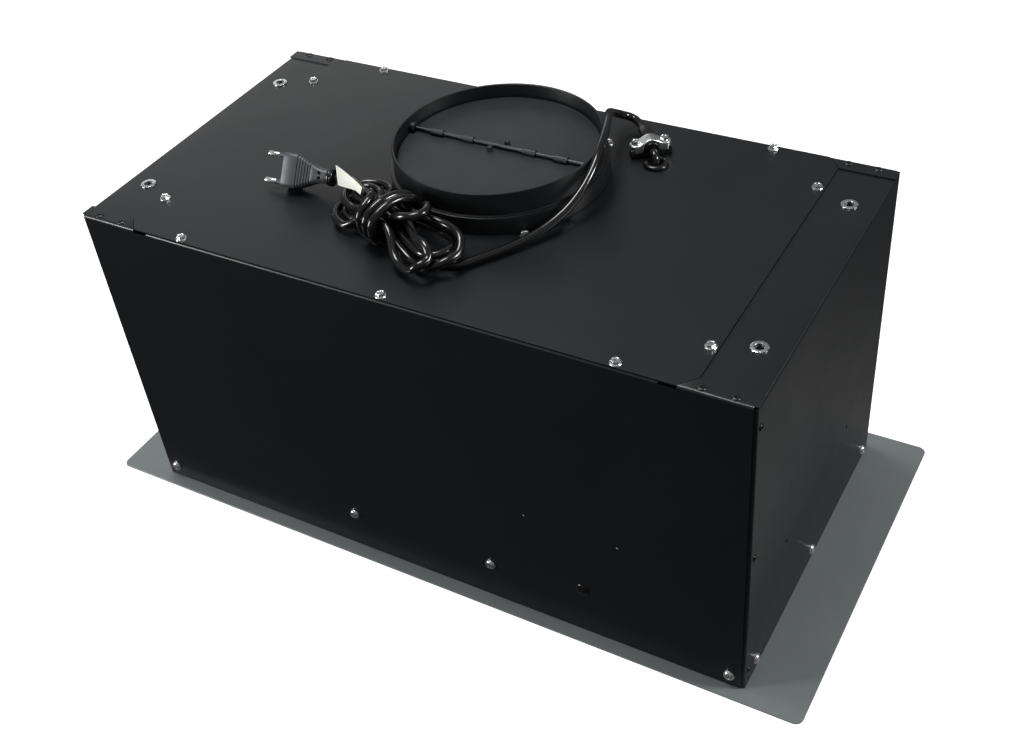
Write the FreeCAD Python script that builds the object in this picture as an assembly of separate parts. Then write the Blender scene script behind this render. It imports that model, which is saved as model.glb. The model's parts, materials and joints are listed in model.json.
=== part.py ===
import FreeCAD, Part
import math
import os

# Built-in cooker hood housing, standing on its own face plate with the duct collar upward.
# Millimetres. Origin at the bottom centre of the face plate, X along its length, Y to the rear, Z up.

V = FreeCAD.Vector

# Face plate
plate_length = 600.0
plate_width = 290.0
plate_sheet = 1.0
plate_corner = 6.0
plate_bevel = 0.3
rim_height = 22.0
rim_corner = 3.0

# Housing of folded sheet, standing on the plate
box_length = 512.0
box_depth = 265.5
box_height = 258.5
box_shift_y = -2.0
sheet = 1.0
fold_radius = 2.0
front_side_inset = 2.5
panel_foot_gap = 0.6
return_width = 16.0
top_flange_depth = 15.0
side_flange_width = 60.0
fold_relief = 3.0

# Top plate between two side strips, and the corner tabs of the front and rear panels
side_strip = 40.0
corner_chamfer = 10.0
tab_depth = 12.3
tab_gap = 0.7
tab_corner = 4.0
edge_setback = 0.8
flange_stop = 21.0

# Fasteners
shank_radius = 1.75
shank_play = 0.15
washer_radius = 4.0
washer_height = 0.8
hex_radius = 3.1
hex_height = 2.6
pan_radius = 4.2
pan_height = 2.6
plate_screw_length = 8.0
panel_screw_length = 7.0
screw_row_height = 11.0
bracket_screw_height = 35.0
rivet_radius = 1.5
rivet_head_radius = 3.0
rivet_head_height = 1.0
edge_rivet_radius = 1.2
edge_rivet_head = 2.5
side_screw_rows = (114.0, -2.0, -112.0)
front_screw_inset = 11.0
bracket_screw_span = 120.0
top_screw_rows = (-166.0, 0.0, 166.0)
top_screw_edge = 4.75
seam_screw_edge = 5.0
seam_screw_span_y = 184.0
corner_rivets_from_seam = (4.5, 25.5)
corner_rivet_edge = 4.45
edge_rivet_edge = 7.25
edge_rivet_heights = (15.0, 127.5, 239.0)
spare_hole_radius = 1.5
spare_hole_span = 124.0
spare_hole_height = 80.0
dimple_radius = 1.1
dimple_places = (92.5, 163.5)
dimple_height = 100.0
knockout_x = 135.0
knockout_height = 44.0
knockout_radius = 4.5
knockout_head = 5.4
knockout_dome = 1.5
knockout_play = 0.1

# Rivet nuts in the side flanges
suspension_from_side = 19.0
suspension_span_y = 162.0
nut_flange_radius = 5.75
nut_flange_height = 1.2
nut_barrel_radius = 4.5
nut_barrel_length = 13.0
nut_bore_radius = 2.5
nut_play = 0.05

# Duct collar and damper
collar_centre_y = 27.0
duct_radius = 75.0
collar_wall = 2.0
collar_height = 30.0
band_radius = 78.0
band_height = 13.0
spigot_play = 0.3
spigot_inset = 3.0
collar_foot = 2.0
collar_hole_radius = 72.0
latch_tab_angle = -26.0
latch_tab_width = 10.0
latch_tab_reach = 3.0
latch_tab_low = 3.0
latch_tab_high = 8.0
damper_axis_height = 22.0
damper_axis_shift = -0.4
damper_pin_radius = 1.5
damper_pin_play = 0.05
cup_radius = 4.0
cup_length = 4.0
cup_floor = 0.5
flap_rim_gap = 1.5
flap_sheet = 1.2
flap_drop = 1.8
flap_split = 0.8
knuckle_radius = 2.5
knuckle_width = 10.0
front_knuckle_x = 25.0
rear_knuckle_x = 50.0
knuckle_notch_gap = 0.6
cup_notch_gap = 1.5
stop_lug_x = 4.0
stop_lug_width = 3.0
stop_lug_near = 4.0
stop_lug_far = 7.0
stop_lug_rise = 1.5
ledge_width = 2.4
ledge_thick = 1.5
ledge_gap = 0.3

# Blower
scroll_axis_y = -22.0
scroll_axis_height = 122.0
scroll_half_width = 62.0
scroll_sheet = 1.0
scroll_least_radius = 76.0
scroll_outlet_radius = 104.0
tongue_angle = 65.0
outlet_front_y = -28.0
scroll_flange_half_x = 76.0
scroll_flange_front = 20.0
scroll_flange_rear = 20.0
blower_screw_span_x = 108.0
blower_screw_span_y = 126.0
flange_hole_inset = 4.0
inlet_radius = 54.0
inlet_throat = 50.0
inlet_ring_width = 8.0
inlet_ring_sheet = 1.2
inlet_lip_depth = 6.0
wheel_radius = 66.0
wheel_half_width = 52.0
blade_count = 36
blade_root_radius = 54.0
blade_sheet = 0.8
blade_sweep = 12.0
wheel_disc = 2.0
wheel_ring_width = 8.0
wheel_ring_thick = 1.5
hub_radius = 10.0
hub_half_length = 12.0
shaft_radius = 4.0
shaft_play = 0.05
shaft_tail = 14.0
motor_radius = 36.0
motor_start = 16.0
motor_length = 68.0
motor_boss_radius = 12.0
motor_boss_length = 2.0
bearing_depth = 22.0
bracket_sheet = 2.0
bracket_arm_width = 14.0
bracket_arm_radius = 66.0
bracket_foot_reach = 9.0
bracket_arm_angles = (30.0, 150.0, 270.0)
bracket_eye_radius = 10.0
motor_screw_length = 6.0

# Electrics inside
capacitor_radius = 14.0
capacitor_length = 52.0
capacitor_y = 50.0
capacitor_foot = 190.0
clip_sheet = 1.5
clip_height = 16.0
clip_half_width = 20.0
terminal_box_near = 84.0
terminal_box_length = 60.0
terminal_box_front = 48.0
terminal_box_depth = 56.0
terminal_box_height = 30.0
terminal_lid_sheet = 1.0
terminal_block_length = 24.0
terminal_block_depth = 20.0
terminal_block_height = 11.0

# Lamps
lamp_from_side = 36.0
lamp_y = 10.0
lamp_hole_radius = 30.0
lamp_lens_gap = 0.4
lamp_lens_recess = 0.4
lamp_flange_radius = 33.0
lamp_flange_thick = 1.5
lamp_can_radius = 28.0
lamp_can_height = 22.0
lamp_wall = 2.0

# Control panel
bezel_length = 114.0
bezel_depth = 22.0
bezel_from_front = 24.75
bezel_gap = 0.3
bezel_recess = 0.3
bezel_height = 12.0
bezel_flange = 5.0
bezel_flange_thick = 1.5
button_count = 5
button_pitch = 22.0
button_size = 14.0
button_play = 0.2
button_recess = 0.6
button_flange = 1.2
button_flange_thick = 1.5
button_rest_gap = 0.1
button_travel = 3.0
stem_size = 6.0
stem_length = 8.4
stem_play = 0.3
stem_pocket_over = 3.0
switch_clear = 1.4
switch_height = 16.0
switch_bracket_sheet = 1.5
switch_bracket_half = 70.0
switch_bracket_gap = 1.0
switch_bracket_top = 46.0
switch_shelf_half = 57.0

# Grease filter
filter_length = 360.0
filter_from_bezel = 21.0
filter_from_rear = 32.75
filter_gap = 2.0
filter_recess = 0.5
filter_height = 9.5
filter_border = 9.0
mesh_sheet = 1.2
mesh_rows = 9
mesh_columns = 20
mesh_strand = 2.0
hook_x = 110.0
hook_width = 20.0
hook_reach = 6.0
hook_sheet = 1.2
hook_lift = 0.4
rail_height = 8.0
rail_sheet = 1.0
pull_half = 18.0
pull_depth = 25.0
pull_inset = 2.0
pull_wall = 2.0
pull_floor = 3.0
pull_lip = 3.0
pull_lip_height = 3.0
catch_radius = 2.5
catch_gap = 0.4
catch_from_front = 12.0

# Mains lead, all heights above the top plate
cord_diameter = 6.0
grommet_x = 98.0
grommet_y = 76.0
grommet_radius = 9.0
grommet_height = 3.0
grommet_neck = 7.0
grommet_play = 0.2
grommet_under = 3.0
cord_play = 0.1
entry_bend = 6.0
sleeve_start = 9.4
sleeve_length = 32.0
sleeve_diameter = 11.5
sleeve_height = 6.3
sleeve_turn = 128.3
clamp_from_sleeve_mouth = 7.2
clamp_length = 30.0
clamp_width = 8.0
clamp_sheet = 1.5
clamp_grip = 0.1
clamp_foot_height = 6.8
clamp_screw_span = 20.8
clamp_screw_length = 12.0
clamp_washer_radius = 3.1
saddle_width = 9.0

# Points of the free lead from the sleeve to the hank, x, y and height over the top plate
free_run_out = 11.4
free_route = (
    (55.0, 120.5, 10.0),
    (47.5, 115.0, 17.5),
    (46.0, 103.5, 25.5),
    (50.5, 91.0, 32.0),
    (58.2, 79.0, 37.0),
    (66.8, 66.5, 40.5),
    (74.5, 52.5, 41.5),
    (80.0, 37.0, 40.0),
    (83.0, 21.0, 36.5),
    (82.5, 5.0, 30.0),
    (78.8, -10.5, 22.0),
    (73.0, -25.5, 14.0),
    (65.5, -39.5, 8.0),
    (57.0, -52.5, 4.6),
    (48.0, -65.0, 3.5),
    (40.2, -76.0, 3.4),
)

# Points of the tail from the hank to the plug
tail_route = (
    (-60.0, -57.6, 23.2),
    (-68.3, -52.3, 23.0),
    (-76.5, -46.5, 21.0),
)
tail_straight = 12.0

# Hank: its waist, its lie and its loops
hank_x = -31.0
hank_y = -70.0
hank_turn = -22.8
layer_low = 13.4
layer_high = 20.0
inner_column = 3.6
outer_column = 11.0
waist_half = 8.0
wrap_half_width = 20.0
wrap_half_height = 13.6
wrap_middle = 16.7
wrap_pitch = 6.9
wrap_count = 3
wrap_start = 14.0
hank_entry = (50.0, 4.0)

# Stations along, across and over the plate with their direction: from the last lobe up to the wraps,
# and from the wraps out
crossing_stations = ((20.0, -1.5, 26.8, 0.8, 0.5, 0.3), (24.0, 9.0, 28.6, -0.05, 1.0, -0.1))
leaving_station = (-12.0, 7.0, 30.0, -1.0, -0.03, -0.08)

# Each lobe: end of the hank, reach, nose, near and far half widths, sideways shift,
# heights in and out, then the column and height of the waist run that follows
lobes = (
    ("left", 33.0, 9.0, 7.6, 7.6, -5.0, 6.0, 6.0, -inner_column, layer_low),
    ("right", 44.0, 11.0, 9.0, 15.5, 4.0, 10.2, 10.2, outer_column, layer_low),
    ("left", 30.0, 19.0, 16.0, 16.0, -5.0, 5.5, 5.5, -outer_column, layer_low),
    ("right", 46.0, 16.0, 16.0, 15.5, 3.0, 10.2, 17.7, outer_column, layer_high),
    ("left", 31.0, 18.0, 16.0, 16.0, 5.0, 14.5, 14.5, -outer_column, layer_high),
    ("right", 42.0, 10.0, 10.0, 8.0, -6.0, 17.5, 17.5, inner_column, layer_high),
    ("left", 33.0, 9.0, 7.6, 7.6, 5.0, 15.5, 15.5, -inner_column, layer_high),
)

# Two-pin plug, lying on its narrow edge, and the paper tag
plug_neck = (-100.3, -41.1, 12.6)
plug_turn = 186.6
plug_rise = 1.0
plug_lean = 35.0
plug_length = 35.0
plug_width = 24.7
plug_thick = 13.7
plug_block = 11.5
plug_corner = 3.0
plug_waist_width = 22.0
plug_waist_thick = 12.0
plug_grip_width = 12.4
plug_grip_thick = 10.6
plug_grip_start = 10.0
plug_neck_diameter = 10.0
plug_neck_length = 6.0
plug_rib_count = 5
plug_rib_width = 1.2
plug_rib_pitch = 2.2
plug_rib_height = 0.5
pin_span = 19.0
pin_length = 16.0
pin_radius = 2.0
pin_sleeve_length = 7.0
pin_sleeve_radius = 1.9
ring_radius = 6.3
ring_length = 4.5
tag_sheet = 0.4
tag_near_foot = (-92.6, -45.0, 10.5)
tag_near_top = (-90.0, -43.2, 25.0)
tag_far_foot = (-66.0, -60.6, 23.0)
tag_far_top = (-64.0, -58.8, 27.5)

# Places that follow from the sizes above
top_z = plate_sheet + box_height
under_top = top_z - sheet
flange_top = under_top
front_y = box_shift_y - box_depth / 2
rear_y = box_shift_y + box_depth / 2
half_length = box_length / 2
front_half = half_length - front_side_inset
top_plate_half = half_length - side_strip
lamp_x = half_length - lamp_from_side
bezel_y = front_y + bezel_from_front
rim_top = plate_sheet + rim_height
damper_y = collar_centre_y + damper_axis_shift
damper_z = top_z + damper_axis_height
collar_bore = duct_radius - collar_wall
scroll_z = plate_sheet + scroll_axis_height
cheek_inner = scroll_half_width - scroll_sheet
outlet_rear_y = scroll_axis_y + scroll_outlet_radius
filter_front = bezel_y + bezel_depth / 2 + filter_from_bezel
filter_rear = rear_y - filter_from_rear
opening_front = filter_front - filter_gap
opening_rear = filter_rear + filter_gap
opening_half = filter_length / 2 + filter_gap
filter_top = filter_recess + filter_height
filter_pivot_z = plate_sheet
bezel_top = bezel_recess + bezel_height
button_flange_z = bezel_top + button_rest_gap
stem_foot = button_flange_z + button_flange_thick
switch_foot = stem_foot + button_travel + switch_clear
button_places = [(i - (button_count - 1) / 2) * button_pitch for i in range(button_count)]
clearance_hole = shank_radius + shank_play


def block(x0, x1, y0, y1, z0, z1):
    """A box between two corners."""
    return Part.makeBox(x1 - x0, y1 - y0, z1 - z0, V(x0, y0, z0))


def rod(start, axis, radius, length):
    """A cylinder from a point along an axis."""
    return Part.makeCylinder(radius, length, V(*start), V(*axis))


def prism(points, normal_axis, low, high):
    """A flat outline of corner points, pushed from low to high along X or Z."""
    if normal_axis == "x":
        corners = [V(low, a, b) for a, b in points]
        push = V(high - low, 0, 0)
    else:
        corners = [V(a, b, low) for a, b in points]
        push = V(0, 0, high - low)
    return Part.Face(Part.makePolygon(corners + corners[:1])).extrude(push)


def rounded_block(x0, x1, y0, y1, z0, z1, radius):
    """A box with rounded vertical edges."""
    solid = block(x0, x1, y0, y1, z0, z1)
    upright = [e for e in solid.Edges if abs(e.BoundBox.ZLength - (z1 - z0)) < 1e-6]
    return solid.makeFillet(radius, upright)


def turned(points, axis_start, axis):
    """A closed outline of radius and height pairs, spun round an upright axis, then laid along axis."""
    corners = [V(r, 0, h) for r, h in points]
    solid = Part.Face(Part.makePolygon(corners + corners[:1])).revolve(V(0, 0, 0), V(0, 0, 1), 360)
    solid.Placement = FreeCAD.Placement(V(*axis_start), FreeCAD.Rotation(V(0, 0, 1), V(*axis)))
    return solid


def angle_section(first, second, thickness, radius):
    """The face of a folded angle in the XZ plane: one leg along +X, one along -Z, outer corner at 0, 0."""
    inner = radius - thickness
    outer_middle = radius * (1 - math.sqrt(0.5))
    inner_middle = thickness + inner * (1 - math.sqrt(0.5))
    edges = [
        Part.Arc(V(0, 0, -radius), V(outer_middle, 0, -outer_middle), V(radius, 0, 0)).toShape(),
        Part.LineSegment(V(radius, 0, 0), V(first, 0, 0)).toShape(),
        Part.LineSegment(V(first, 0, 0), V(first, 0, -thickness)).toShape(),
        Part.LineSegment(V(first, 0, -thickness), V(radius, 0, -thickness)).toShape(),
        Part.Arc(V(radius, 0, -thickness), V(inner_middle, 0, -inner_middle), V(thickness, 0, -radius)).toShape(),
        Part.LineSegment(V(thickness, 0, -radius), V(thickness, 0, -second)).toShape(),
        Part.LineSegment(V(thickness, 0, -second), V(0, 0, -second)).toShape(),
        Part.LineSegment(V(0, 0, -second), V(0, 0, -radius)).toShape(),
    ]
    return Part.Face(Part.Wire(edges))


def folded_angle(first, second, length, corner, first_axis, run_axis):
    """A folded angle: the flat leg runs along first_axis from corner, the other hangs down."""
    solid = angle_section(first, second, sheet, fold_radius).extrude(V(0, length, 0))
    along = V(*run_axis)
    out = V(*first_axis)
    up = V(0, 0, 1)
    flip = FreeCAD.Matrix(
        out.x, along.x, up.x, corner[0],
        out.y, along.y, up.y, corner[1],
        out.z, along.z, up.z, corner[2],
        0, 0, 0, 1,
    )
    return solid.transformGeometry(flip) if out.cross(along).z < 0 else solid.transformed(flip)


def fused(solids):
    """One solid from overlapping or touching ones."""
    first, rest = solids[0], solids[1:]
    return first.multiFuse(rest).removeSplitter() if rest else first


def drilled(solid, tools):
    """A solid with a list of tools cut away."""
    return solid.cut(Part.makeCompound(tools)) if tools else solid


def save(name, solids):
    """Writes one node."""
    shape = solids if isinstance(solids, Part.Shape) else Part.makeCompound(solids)
    shape.exportStep("parts/" + name + ".step")


def hex_screw(place, outward, length, washer_size=washer_radius):
    """Hex screw with a washer head, seated on a face at place."""
    out = V(*outward)
    seat = V(*place)
    washer = Part.makeCylinder(washer_size, washer_height, seat, out)
    corners = []
    for k in range(6):
        a = math.radians(60 * k)
        corners.append(V(hex_radius * math.cos(a), hex_radius * math.sin(a), washer_height))
    head = Part.Face(Part.makePolygon(corners + corners[:1])).extrude(V(0, 0, hex_height))
    head.Placement = FreeCAD.Placement(seat, FreeCAD.Rotation(V(0, 0, 1), out))
    shank = Part.makeCylinder(shank_radius, length, seat, out * -1)
    return fused([washer, head, shank])


def pan_screw(place, outward, length):
    """Domed screw with a thin flange, seated on a face at place."""
    crown = pan_radius * 0.62
    outline = [
        (0, 0), (pan_radius, 0), (pan_radius, washer_height), (pan_radius * 0.86, pan_height * 0.62),
        (crown, pan_height), (0, pan_height),
    ]
    head = turned(outline, place, outward)
    back = [-c for c in outward]
    return fused([head, rod(place, back, shank_radius, length)])


def pop_rivet(place, outward, body, head, height, length):
    """Domed blind rivet."""
    outline = [(0, 0), (head, 0), (head, height * 0.35), (head * 0.66, height), (0, height)]
    back = [-c for c in outward]
    return fused([turned(outline, place, outward), rod(place, back, body, length)])


# ---------------------------------------------------------------- fastener places
top_screw_places = []
for x in top_screw_rows:
    top_screw_places.append((x, front_y + top_screw_edge))
    top_screw_places.append((x, rear_y - top_screw_edge))
seam_screw_places = []
nut_places = []
for sx in (-1, 1):
    for sy in (-1, 1):
        seam_screw_x = sx * (top_plate_half - seam_screw_edge)
        seam_screw_places.append((seam_screw_x, box_shift_y + sy * seam_screw_span_y / 2))
        nut_x = sx * (half_length - suspension_from_side)
        nut_places.append((nut_x, box_shift_y + sy * suspension_span_y / 2))
blower_screw_places = []
for sx in (-1, 1):
    for sy in (-1, 1):
        blower_screw_places.append((sx * blower_screw_span_x / 2, collar_centre_y + sy * blower_screw_span_y / 2))
rivet_places = []
for sx in (-1, 1):
    for from_seam in corner_rivets_from_seam:
        x = sx * (top_plate_half + from_seam)
        rivet_places.append((x, front_y + corner_rivet_edge))
        rivet_places.append((x, rear_y - corner_rivet_edge))
side_screw_ys = [box_shift_y + y for y in side_screw_rows]
panel_screw_z = plate_sheet + screw_row_height
bracket_screw_z = plate_sheet + bracket_screw_height
front_screw_xs = (front_screw_inset - half_length, half_length - front_screw_inset)
bracket_screw_xs = (-bracket_screw_span / 2, bracket_screw_span / 2)


# ---------------------------------------------------------------- clamp frame on the top plate
sleeve_angle = math.radians(sleeve_turn)
sleeve_way = V(math.cos(sleeve_angle), math.sin(sleeve_angle), 0)
bar_way = V(sleeve_way.y, -sleeve_way.x, 0)
grommet_axis = V(grommet_x, grommet_y, top_z)
sleeve_mouth = grommet_axis + sleeve_way * sleeve_start + V(0, 0, sleeve_height)
sleeve_end = sleeve_mouth + sleeve_way * sleeve_length
clamp_centre = grommet_axis + sleeve_way * (sleeve_start + clamp_from_sleeve_mouth)
clamp_screw_places = [clamp_centre + bar_way * (s * clamp_screw_span / 2) for s in (-1, 1)]


def on_clamp(solid):
    """Moves a solid drawn with the sleeve along Y and the bar along X to its place on the top plate."""
    placed = solid.copy()
    turn = FreeCAD.Rotation(V(0, 0, 1), sleeve_turn - 90)
    placed.Placement = FreeCAD.Placement(clamp_centre, turn).multiply(placed.Placement)
    return placed


# ---------------------------------------------------------------- housing
def make_face_frame():
    """Face plate with its upstanding rim, the filter opening and its rails."""
    plate = rounded_block(
        -plate_length / 2, plate_length / 2, -plate_width / 2, plate_width / 2, 0, plate_sheet, plate_corner
    )
    top_edges = [e for e in plate.Edges if e.BoundBox.ZMin > plate_sheet - 1e-6]
    plate = plate.makeChamfer(plate_bevel, top_edges)
    rim_x = half_length - sheet
    rim_front = front_y + 2 * sheet
    rim_rear = rear_y - 2 * sheet
    outer = rounded_block(-rim_x, rim_x, rim_front, rim_rear, plate_sheet, rim_top, rim_corner)
    inner = rounded_block(
        -rim_x + sheet, rim_x - sheet, rim_front + sheet, rim_rear - sheet, plate_sheet, rim_top, rim_corner - sheet
    )
    rails = []
    for s in (-1, 1):
        x0, x1 = sorted((s * opening_half, s * (opening_half + rail_sheet)))
        rails.append(block(x0, x1, opening_front, opening_rear, plate_sheet, plate_sheet + rail_height))
    frame = fused([plate, outer.cut(inner)] + rails)
    cuts = [block(-opening_half, opening_half, opening_front, opening_rear, -1, plate_sheet + 1)]
    for s in (-1, 1):
        cuts.append(rod((s * lamp_x, lamp_y, -1), (0, 0, 1), lamp_hole_radius, plate_sheet + 2))
        for y in side_screw_ys:
            cuts.append(rod((s * (rim_x + 1), y, panel_screw_z), (-s, 0, 0), clearance_hole, 4 * sheet))
    for x in front_screw_xs:
        cuts.append(rod((x, rim_front - 1, panel_screw_z), (0, 1, 0), clearance_hole, 4 * sheet))
        cuts.append(rod((x, rim_rear + 1, panel_screw_z), (0, -1, 0), clearance_hole, 4 * sheet))
    for x in bracket_screw_xs:
        cuts.append(rod((x, rim_rear + 1, panel_screw_z), (0, -1, 0), clearance_hole, 4 * sheet))
    half_slot = bezel_length / 2 + bezel_gap
    half_deep = bezel_depth / 2 + bezel_gap
    cuts.append(block(-half_slot, half_slot, bezel_y - half_deep, bezel_y + half_deep, -1, plate_sheet + 1))
    return drilled(frame, cuts)


def make_end_panel(side):
    """Front (-1) or rear (+1) panel with its top flange and its two corner tabs."""
    edge = front_y if side < 0 else rear_y
    inward = -side
    foot = plate_sheet + panel_foot_gap
    pieces = []
    middle_half = top_plate_half - flange_stop
    start = (-middle_half * inward, edge, flange_top)
    pieces.append(
        folded_angle(top_flange_depth, flange_top - foot, 2 * middle_half, start, (0, inward, 0), (inward, 0, 0))
    )
    tab_inner = top_plate_half - corner_chamfer + tab_gap
    for s in (-1, 1):
        x0, x1 = sorted((s * (middle_half - 1), s * front_half))
        y0, y1 = sorted((edge, edge + inward * sheet))
        low_wall = block(x0, x1, y0, y1, foot, flange_top - fold_radius)
        x0, x1 = sorted((s * tab_inner, s * front_half))
        start = (x0 if inward > 0 else x1, edge, top_z)
        tab = folded_angle(tab_depth, top_z - foot, x1 - x0, start, (0, inward, 0), (inward, 0, 0))
        reach = [
            (s * tab_inner, edge), (s * half_length, edge),
            (s * half_length, edge + inward * tab_depth), (s * tab_inner, edge + inward * tab_depth),
        ]
        cap = prism([(x, y) for x, y in reach], "z", top_z - sheet, top_z)
        wing = block(*sorted((s * front_half, s * half_length)), *sorted((edge + inward * fold_radius,
                     edge + inward * tab_depth)), top_z - sheet, top_z)
        slant = corner_chamfer + tab_gap
        clip = [
            (s * (tab_inner - 1), edge + inward * (tab_depth + 1)),
            (s * (tab_inner - 1), edge + inward * 1.0),
            (s * tab_inner, edge + inward * 1.0),
            (s * (tab_inner + slant), edge + inward * (tab_depth + 1)),
        ]
        trimmed = fused([tab, wing.common(cap)]).cut(prism(clip, "z", top_z - 1.5 * sheet, top_z + 1))
        pieces += [low_wall, trimmed]
    panel = fused(pieces)
    cuts = []
    for x in front_screw_xs:
        cuts.append(rod((x, edge - inward, panel_screw_z), (0, inward, 0), clearance_hole, 4 * sheet))
    row_z = bracket_screw_z if side < 0 else panel_screw_z
    for x in bracket_screw_xs:
        cuts.append(rod((x, edge - inward, row_z), (0, inward, 0), clearance_hole, 4 * sheet))
    for x, y in top_screw_places:
        cuts.append(rod((x, y, flange_top - 2 * sheet), (0, 0, 1), clearance_hole, 4 * sheet))
    for x, y in rivet_places:
        cuts.append(rod((x, y, flange_top - 2 * sheet), (0, 0, 1), rivet_radius + shank_play, 4 * sheet))
    if side < 0:
        for x in dimple_places:
            cuts.append(rod((x, edge - 1, plate_sheet + dimple_height), (0, 1, 0), dimple_radius, 4 * sheet))
        hole = knockout_radius + knockout_play
        cuts.append(rod((knockout_x, edge - 1, plate_sheet + knockout_height), (0, 1, 0), hole, 4 * sheet))
    return drilled(panel, cuts)


def make_side_panel(side):
    """Left (-1) or right (+1) panel with upright returns behind the front and rear panels and a top flange."""
    wall = side * half_length
    foot = plate_sheet + panel_foot_gap / 2
    near = front_y + sheet
    far = rear_y - sheet
    outer = rounded_block(*sorted((wall, wall - side * 4 * return_width)), near, far, foot,
                          flange_top - sheet, fold_radius)
    hollow = rounded_block(*sorted((wall - side * sheet, wall - side * 5 * return_width)), near + sheet,
                           far - sheet, foot - 1, flange_top + 1, fold_radius - sheet)
    keep = block(*sorted((wall + side, wall - side * return_width)), near - 1, far + 1, foot - 1, flange_top + 1)
    upright = outer.cut(hollow).common(keep)
    crown = block(*sorted((wall + side, wall - side * (sheet + 0.5))), near + fold_relief, far - fold_relief,
                  flange_top - 4 * fold_radius, flange_top)
    upright = upright.cut(crown)
    run = far - near - 2 * fold_relief
    start_y = near + fold_relief if side < 0 else far - fold_relief
    angle = folded_angle(
        side_flange_width, 5 * fold_radius, run, (wall, start_y, flange_top), (-side, 0, 0), (0, -side, 0)
    )
    panel = fused([upright, angle])
    cuts = []
    for y in side_screw_ys:
        cuts.append(rod((wall + side, y, panel_screw_z), (-side, 0, 0), clearance_hole, 4 * sheet))
    for x in front_screw_xs:
        cuts.append(rod((x, front_y, panel_screw_z), (0, 1, 0), clearance_hole, 4 * sheet))
        cuts.append(rod((x, rear_y, panel_screw_z), (0, -1, 0), clearance_hole, 4 * sheet))
    for s in (-1, 1):
        y = box_shift_y + s * spare_hole_span / 2
        cuts.append(rod((wall + side, y, plate_sheet + spare_hole_height), (-side, 0, 0), spare_hole_radius, 4 * sheet))
    for height in edge_rivet_heights:
        hole = edge_rivet_radius + shank_play
        place = (wall + side, front_y + edge_rivet_edge, plate_sheet + height)
        cuts.append(rod(place, (-side, 0, 0), hole, 1.5 + sheet))
    for x, y in seam_screw_places:
        cuts.append(rod((x, y, flange_top - 2 * sheet), (0, 0, 1), clearance_hole, 4 * sheet))
    for x, y in rivet_places:
        cuts.append(rod((x, y, flange_top - 2 * sheet), (0, 0, 1), rivet_radius + shank_play, 4 * sheet))
    for x, y in nut_places:
        cuts.append(rod((x, y, flange_top - 2 * sheet), (0, 0, 1), nut_barrel_radius + nut_play, 4 * sheet))
    return drilled(panel, cuts)


def make_top_plate():
    """Top plate with slanted corners, the collar hole and the cord's hole."""
    near = front_y + edge_setback
    far = rear_y - edge_setback
    slant_y = tab_depth - edge_setback
    inner = top_plate_half - corner_chamfer
    outline = [
        (-inner, near), (inner, near), (top_plate_half, near + slant_y), (top_plate_half, far - slant_y),
        (inner, far), (-inner, far), (-top_plate_half, far - slant_y), (-top_plate_half, near + slant_y),
    ]
    plate = prism(outline, "z", under_top, top_z)
    cuts = [
        rod((0, collar_centre_y, under_top - 1), (0, 0, 1), collar_hole_radius, 3 * sheet),
        rod((grommet_x, grommet_y, under_top - 1), (0, 0, 1), grommet_neck + grommet_play, 3 * sheet),
    ]
    for x, y in top_screw_places + seam_screw_places + blower_screw_places:
        cuts.append(rod((x, y, under_top - 1), (0, 0, 1), clearance_hole, 3 * sheet))
    for place in clamp_screw_places:
        cuts.append(rod((place.x, place.y, under_top - 1), (0, 0, 1), clearance_hole, 3 * sheet))
    return drilled(plate, cuts)


def make_suspension_nuts():
    """Rivet nuts that the hanging screws go into."""
    nuts = []
    barrel = -nut_barrel_length
    outline = [
        (nut_bore_radius, barrel), (nut_barrel_radius, barrel), (nut_barrel_radius, 0), (nut_flange_radius, 0),
        (nut_flange_radius, nut_flange_height * 0.6), (nut_flange_radius - 0.5, nut_flange_height),
        (nut_bore_radius, nut_flange_height),
    ]
    for x, y in nut_places:
        nuts.append(turned(outline, (x, y, flange_top), (0, 0, 1)))
    return nuts


def make_panel_screws():
    """Screws round the foot of the housing."""
    screws = []
    for side in (-1, 1):
        for y in side_screw_ys:
            screws.append(pan_screw((side * half_length, y, panel_screw_z), (side, 0, 0), panel_screw_length))
    for x in front_screw_xs:
        screws.append(pan_screw((x, front_y, panel_screw_z), (0, -1, 0), panel_screw_length))
        screws.append(pan_screw((x, rear_y, panel_screw_z), (0, 1, 0), panel_screw_length))
    for x in bracket_screw_xs:
        screws.append(pan_screw((x, front_y, bracket_screw_z), (0, -1, 0), panel_screw_length))
        screws.append(pan_screw((x, rear_y, panel_screw_z), (0, 1, 0), panel_screw_length))
    return screws


def make_black_rivets():
    """Corner rivets of the tabs and the small rivets down the side panels' front edges."""
    rivets = []
    for x, y in rivet_places:
        rivets.append(
            pop_rivet((x, y, top_z), (0, 0, 1), rivet_radius, rivet_head_radius, rivet_head_height, 4 * sheet)
        )
    for side in (-1, 1):
        for height in edge_rivet_heights:
            place = (side * half_length, front_y + edge_rivet_edge, plate_sheet + height)
            rivets.append(
                pop_rivet(place, (side, 0, 0), edge_rivet_radius, edge_rivet_head, rivet_head_height, sheet)
            )
    return rivets


def make_knockout_plug():
    """Domed plug in the front panel's spare cable hole."""
    place = (knockout_x, front_y, plate_sheet + knockout_height)
    outline = [
        (0, 0), (knockout_head, 0), (knockout_head, knockout_dome * 0.3),
        (knockout_head * 0.7, knockout_dome * 0.85), (0, knockout_dome),
    ]
    return fused([turned(outline, place, (0, -1, 0)), rod(place, (0, 1, 0), knockout_radius, 3 * sheet)])


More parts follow.
